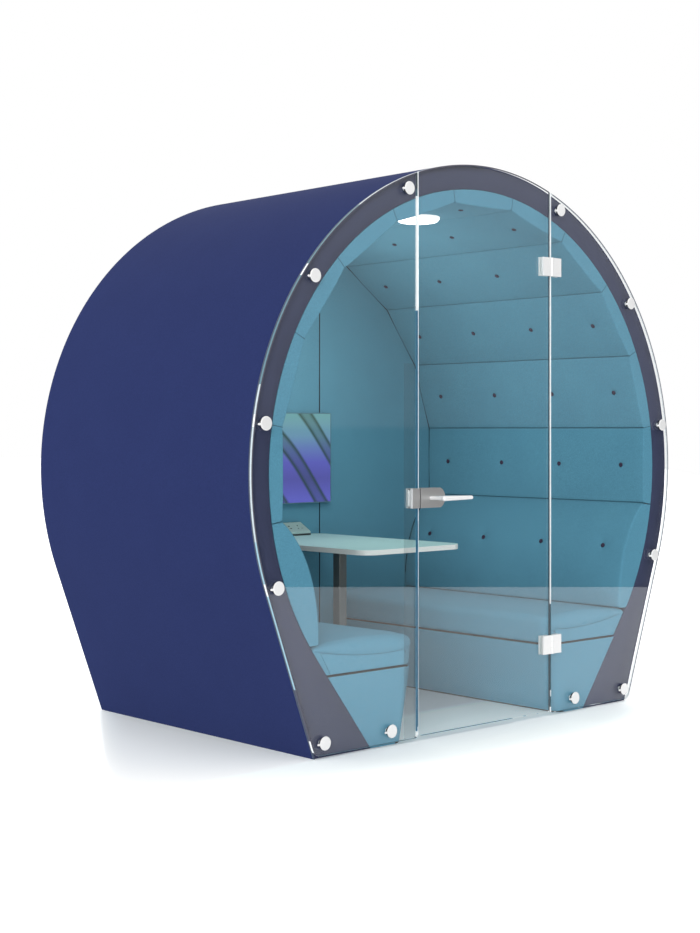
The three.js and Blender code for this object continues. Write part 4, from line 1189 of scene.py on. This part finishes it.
def build_edge_reflections():
    """A fine dark line round the face of each sheet's outer edge: a painted dark reflection of the glass
    edge, paler on the right sheet.
    """
    inner, outer = GLASS_R - 0.0056, GLASS_R - 0.0002
    for name, (low, high) in SHEET_SPANS.items():
        arch = arch_path((inner + outer) / 2, SHELL_LEAN, 0.045, 360)
        path = [(x, z) for x, z in arch if low + 0.001 < x < high - 0.001]
        rings = []
        for i, (x, z) in enumerate(path):
            ahead = Vector(path[min(i + 1, len(path) - 1)]) - Vector(path[max(i - 1, 0)])
            out = Vector((ahead.y, -ahead.x)).normalized() * (outer - inner) / 2
            section = [(out, -0.0001), (out, -0.0004), (-out, -0.0004), (-out, -0.0001)]
            rings.append([(x + side.x, GLASS_Y[0] + depth, z + side.y) for side, depth in section])
        line = loft(f"glass_edge_reflection_{name}", rings, pale_edge_reflection if name == "right" else dark_edge_reflection, sharp=30)
        wear(line, "clear_glass", body="door" if name == "door" else "pod")


def build_gap_shade_and_film():
    """A dark strip in the gap behind the left edge of the glass, painted shade in that gap, and a clear film
    beside the lock side of the door.
    """
    inner, outer = GLASS_R - 0.0055, GLASS_R - 0.0004
    eased = outer - 0.0008
    section = [(inner, -0.0078), (eased, -0.0078), (outer, -0.0070), (outer, -0.0010), (eased, -0.0002),
               (inner, -0.0002)]
    strip = hoop("rim_gap_shade", [(radius, SHELL_LEAN, y) for radius, y in section], left_gap_shade, end_x=0.001)
    wear(strip, "clear_glass")
    build_edge_reflections()
    edge, width = SHEET_SPANS["left"][1] - 0.002, 0.062
    film = plate("door_film_strip", [box_outline(edge - width, edge, GLASS_FOOT + 0.003, 1.46)],
                 (GLASS_Y[1] + 0.0001, GLASS_Y[1] + 0.0006), 0.0001, door_film)
    wear(film, "clear_glass")


def build_standoffs():
    """Caps with a dark washer, a shank through the glass, a barrel behind it and a small locking pin."""
    front, back, neck = -0.0323, -0.0233, -0.0183
    rim = front + 0.0052
    profile = [
        (POINT, front), (0.0226, front), (0.0236, front + 0.0003), (0.0252, front + 0.0014),
        (0.0257, front + 0.0026), (0.0257, rim - 0.0008), (0.0250, rim), (0.0222, rim), (0.0222, back),
        (0.0222, neck), (0.006, neck), (0.006, -0.0077), (0.0095, -0.0077), (0.010, -0.0072),
        (0.010, -0.0010), (0.0096, -0.0003), (POINT, -0.0003),
    ]
    washer_rows, sides = (7, 9), 44
    pin = [(-0.0215, POINT), (-0.0215, 0.0048), (-0.0280, 0.0046), (-0.0315, 0.0038), (-0.0335, 0.0022),
           (-0.0342, POINT)]
    pin_y, pin_z, turns = (rim + neck) / 2 - 0.001, -0.003, around(16)
    cap_rings = [[(r * cos(a), y, r * sin(a)) for a in around(sides)] for r, y in profile]
    pin_rings = [[(x, pin_y + 0.9 * r * cos(a), pin_z + r * sin(a)) for a in turns] for x, r in pin]
    form = joined([cap_rings, pin_rings])
    first = None
    for name, (x, z) in standoff_places().items():
        if first is None:
            piece = first = make(f"glass_button_{name}", *form, chrome_white_reflection, rubber, sharp=14)
            for index in range(washer_rows[0] * sides, washer_rows[1] * sides):
                first.data.polygons[index].material_index = 1
        else:
            piece = bpy.data.objects.new(f"glass_button_{name}", first.data)
            scene.collection.objects.link(piece)
        piece.location = (x, 0, z)
        wear(piece, "polished_steel", f"standoff_{name}")


def build_hinges():
    for height in HINGE_Z:
        for part, body, ease, mat in (("fixed_leaf", "pod", 0.0012, chrome_white_reflection),
                                      ("door_leaf", "door", 0.0012, chrome_white_reflection),
                                      ("pin", "pod", 0.0006, chrome_bright_reflection)):
            node = f"hinge_{height}_{part}"
            dress(f"{node}_piece", node, ease, "polished_steel", mat, body=body)


build_glass()
build_gap_shade_and_film()
build_standoffs()
build_hinges()


# Lock and levers

def build_lock():
    dress("lock_body", "lock_case", 0.0014, "satin_steel", satin_steel, body="door")
    strike = dress("strike_body", "strike_box", 0.0014, "satin_steel", satin_steel, chrome_white_reflection)
    # The strike's left side is given the near-white chrome: a painted bright reflection on that side only
    paint(strike, lambda face: face.normal.x < -0.5)
    dress("latch_piece", "latch_bolt", 0.0006, "satin_steel", satin_steel, body="latch")


def spindle_ring(radius, y, sides):
    return [(SPINDLE_X + radius * cos(a), y, LOCK_Z + radius * sin(a)) for a in around(sides)]


def build_lever(side, start, reach):
    """A round neck with a collar, and a tapered arm across its end."""
    away, sides = copysign(1, reach), 32
    arm_y = start + reach - away * 0.0015
    neck_end = abs(reach) - 0.004
    neck = [(POINT, 0.0), (0.0080, 0.0), (0.0080, 0.046), (0.0086, 0.0465), (0.0086, 0.0475), (0.0072, 0.048),
            (0.0072, 0.0495), (0.0090, 0.050), (0.0090, neck_end), (POINT, neck_end)]
    neck_rings = [spindle_ring(r, start + away * along, sides) for r, along in neck]
    root, tip, thick, thin = SPINDLE_X - 0.0125, LEVER_END, 0.0105, 0.0078
    turns = np.linspace(0, pi / 2, 9)[1:]
    straight = np.linspace(root + thick * 0.75, tip - thin, 14)[1:]
    arm = [(root + thick * 0.75 * (1 - cos(t)), thick * sin(t)) for t in turns]
    for x in straight:
        arm.append((x, thick + (thin - thick) * (x - straight[0]) / (straight[-1] - straight[0])))
    arm += [(tip - thin + thin * sin(t), max(POINT, thin * cos(t))) for t in turns]
    arm_rings = [[(x, arm_y + r * cos(a), LOCK_Z + r * sin(a)) for a in around(sides)] for x, r in arm]
    lever = make(f"lever_grip_{side}", *joined([neck_rings, arm_rings]), chrome_white_reflection, sharp=30)
    wear(lever, "polished_steel", f"lever_{side}", body="lever")


build_lock()
build_lever("outside", -0.0326, -LEVER_REACH + 0.0006)
build_lever("inside", 0.0066, LEVER_REACH - 0.0006)
spindle = loft("spindle", [spindle_ring(0.0045, y, 20) for y in (-0.034, 0.0075)], satin_steel)
wear(spindle, "satin_steel", body="lever")


# Table, power unit, screen and light

def build_table():
    top = dress("table_board", "table_top", 0.0015, "laminate", table_laminate, table_edge)
    paint(top, lambda face: abs(face.normal.z) < 0.5)
    dress("table_post", "table_column", 0.0012, "column_steel", column_steel)
    dress("table_foot", "table_base", 0.0015, "column_steel", column_steel)


def build_power_unit():
    """A wedge whose sloping face has sunk sockets, and a dark strip along its foot."""
    unit = dress("power_box", "power_unit", 0.0008, "white_plastic", shaded_white_plastic, dark_plastic)
    low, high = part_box("power_unit")
    front_rise, side, margin = 0.018, 0.02, 0.004
    slope = (0.058 - front_rise) / (0.082 - 0.008)

    def sunk(face):
        x, y, z = face.center
        face_z = low.z + front_rise + (y - low.y) * slope
        inside = low.x + side < x < high.x - side
        return inside and low.z + margin < z < face_z - 0.0015 and y > low.y + margin

    paint(unit, sunk)
    strip_half, strip_foot, strip_top, strip_y = 0.1785, 0.7072, 0.7155, (1.2690, 1.2700)
    outline = box_outline(-strip_half, strip_half, strip_foot, strip_top)
    wear(plate("power_foot_strip", [outline], strip_y, 0.0003, dark_plastic), "casing_plastic")


def build_light():
    ceiling = ARCH_Z + PANEL_FACE - FIT
    rim = [(POINT, 0.0), (0.0905, 0.0), (0.092, -0.0015), (0.092, -0.0095), (0.0908, -0.0115),
           (0.0895, -0.012), (0.0868, -0.012), (0.0863, -0.0115), (0.0863, -0.004), (POINT, -0.004)]
    dome = [(POINT, -0.0043), (0.086, -0.0043), (0.086, -0.0115), (0.0845, -0.0170), (0.079, -0.0210),
            (0.067, -0.0232), (0.048, -0.0245), (0.024, -0.0251), (POINT, -0.0253)]
    for name, profile, mat, slot, node in (
        ("light_rim", rim, rim_painted_glow, "white_plastic", "lamp_housing"),
        ("light_dome", dome, opal, "opal_plastic", "lamp_diffuser"),
    ):
        rings = np.array(turned(profile, 64)) + (0, LAMP_Y, ceiling)
        wear(loft(name, rings, mat, sharp=35), slot, node)


build_table()
build_power_unit()
# The casing's dim teal is painted shade and teal bounce light
dress("screen_case", "screen_casing", 0.0015, "casing_plastic", casing_plastic)
dress("screen_face", "screen_display", 0.0004, "display", display)
build_light()

for name in ("front_rib", "rear_rib"):
    nodes[name].data.materials.clear()
    nodes[name].data.materials.append(plywood)

{"cad": [list(corner) for corner in cad_box], "visual": [list(corner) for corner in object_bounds()]}
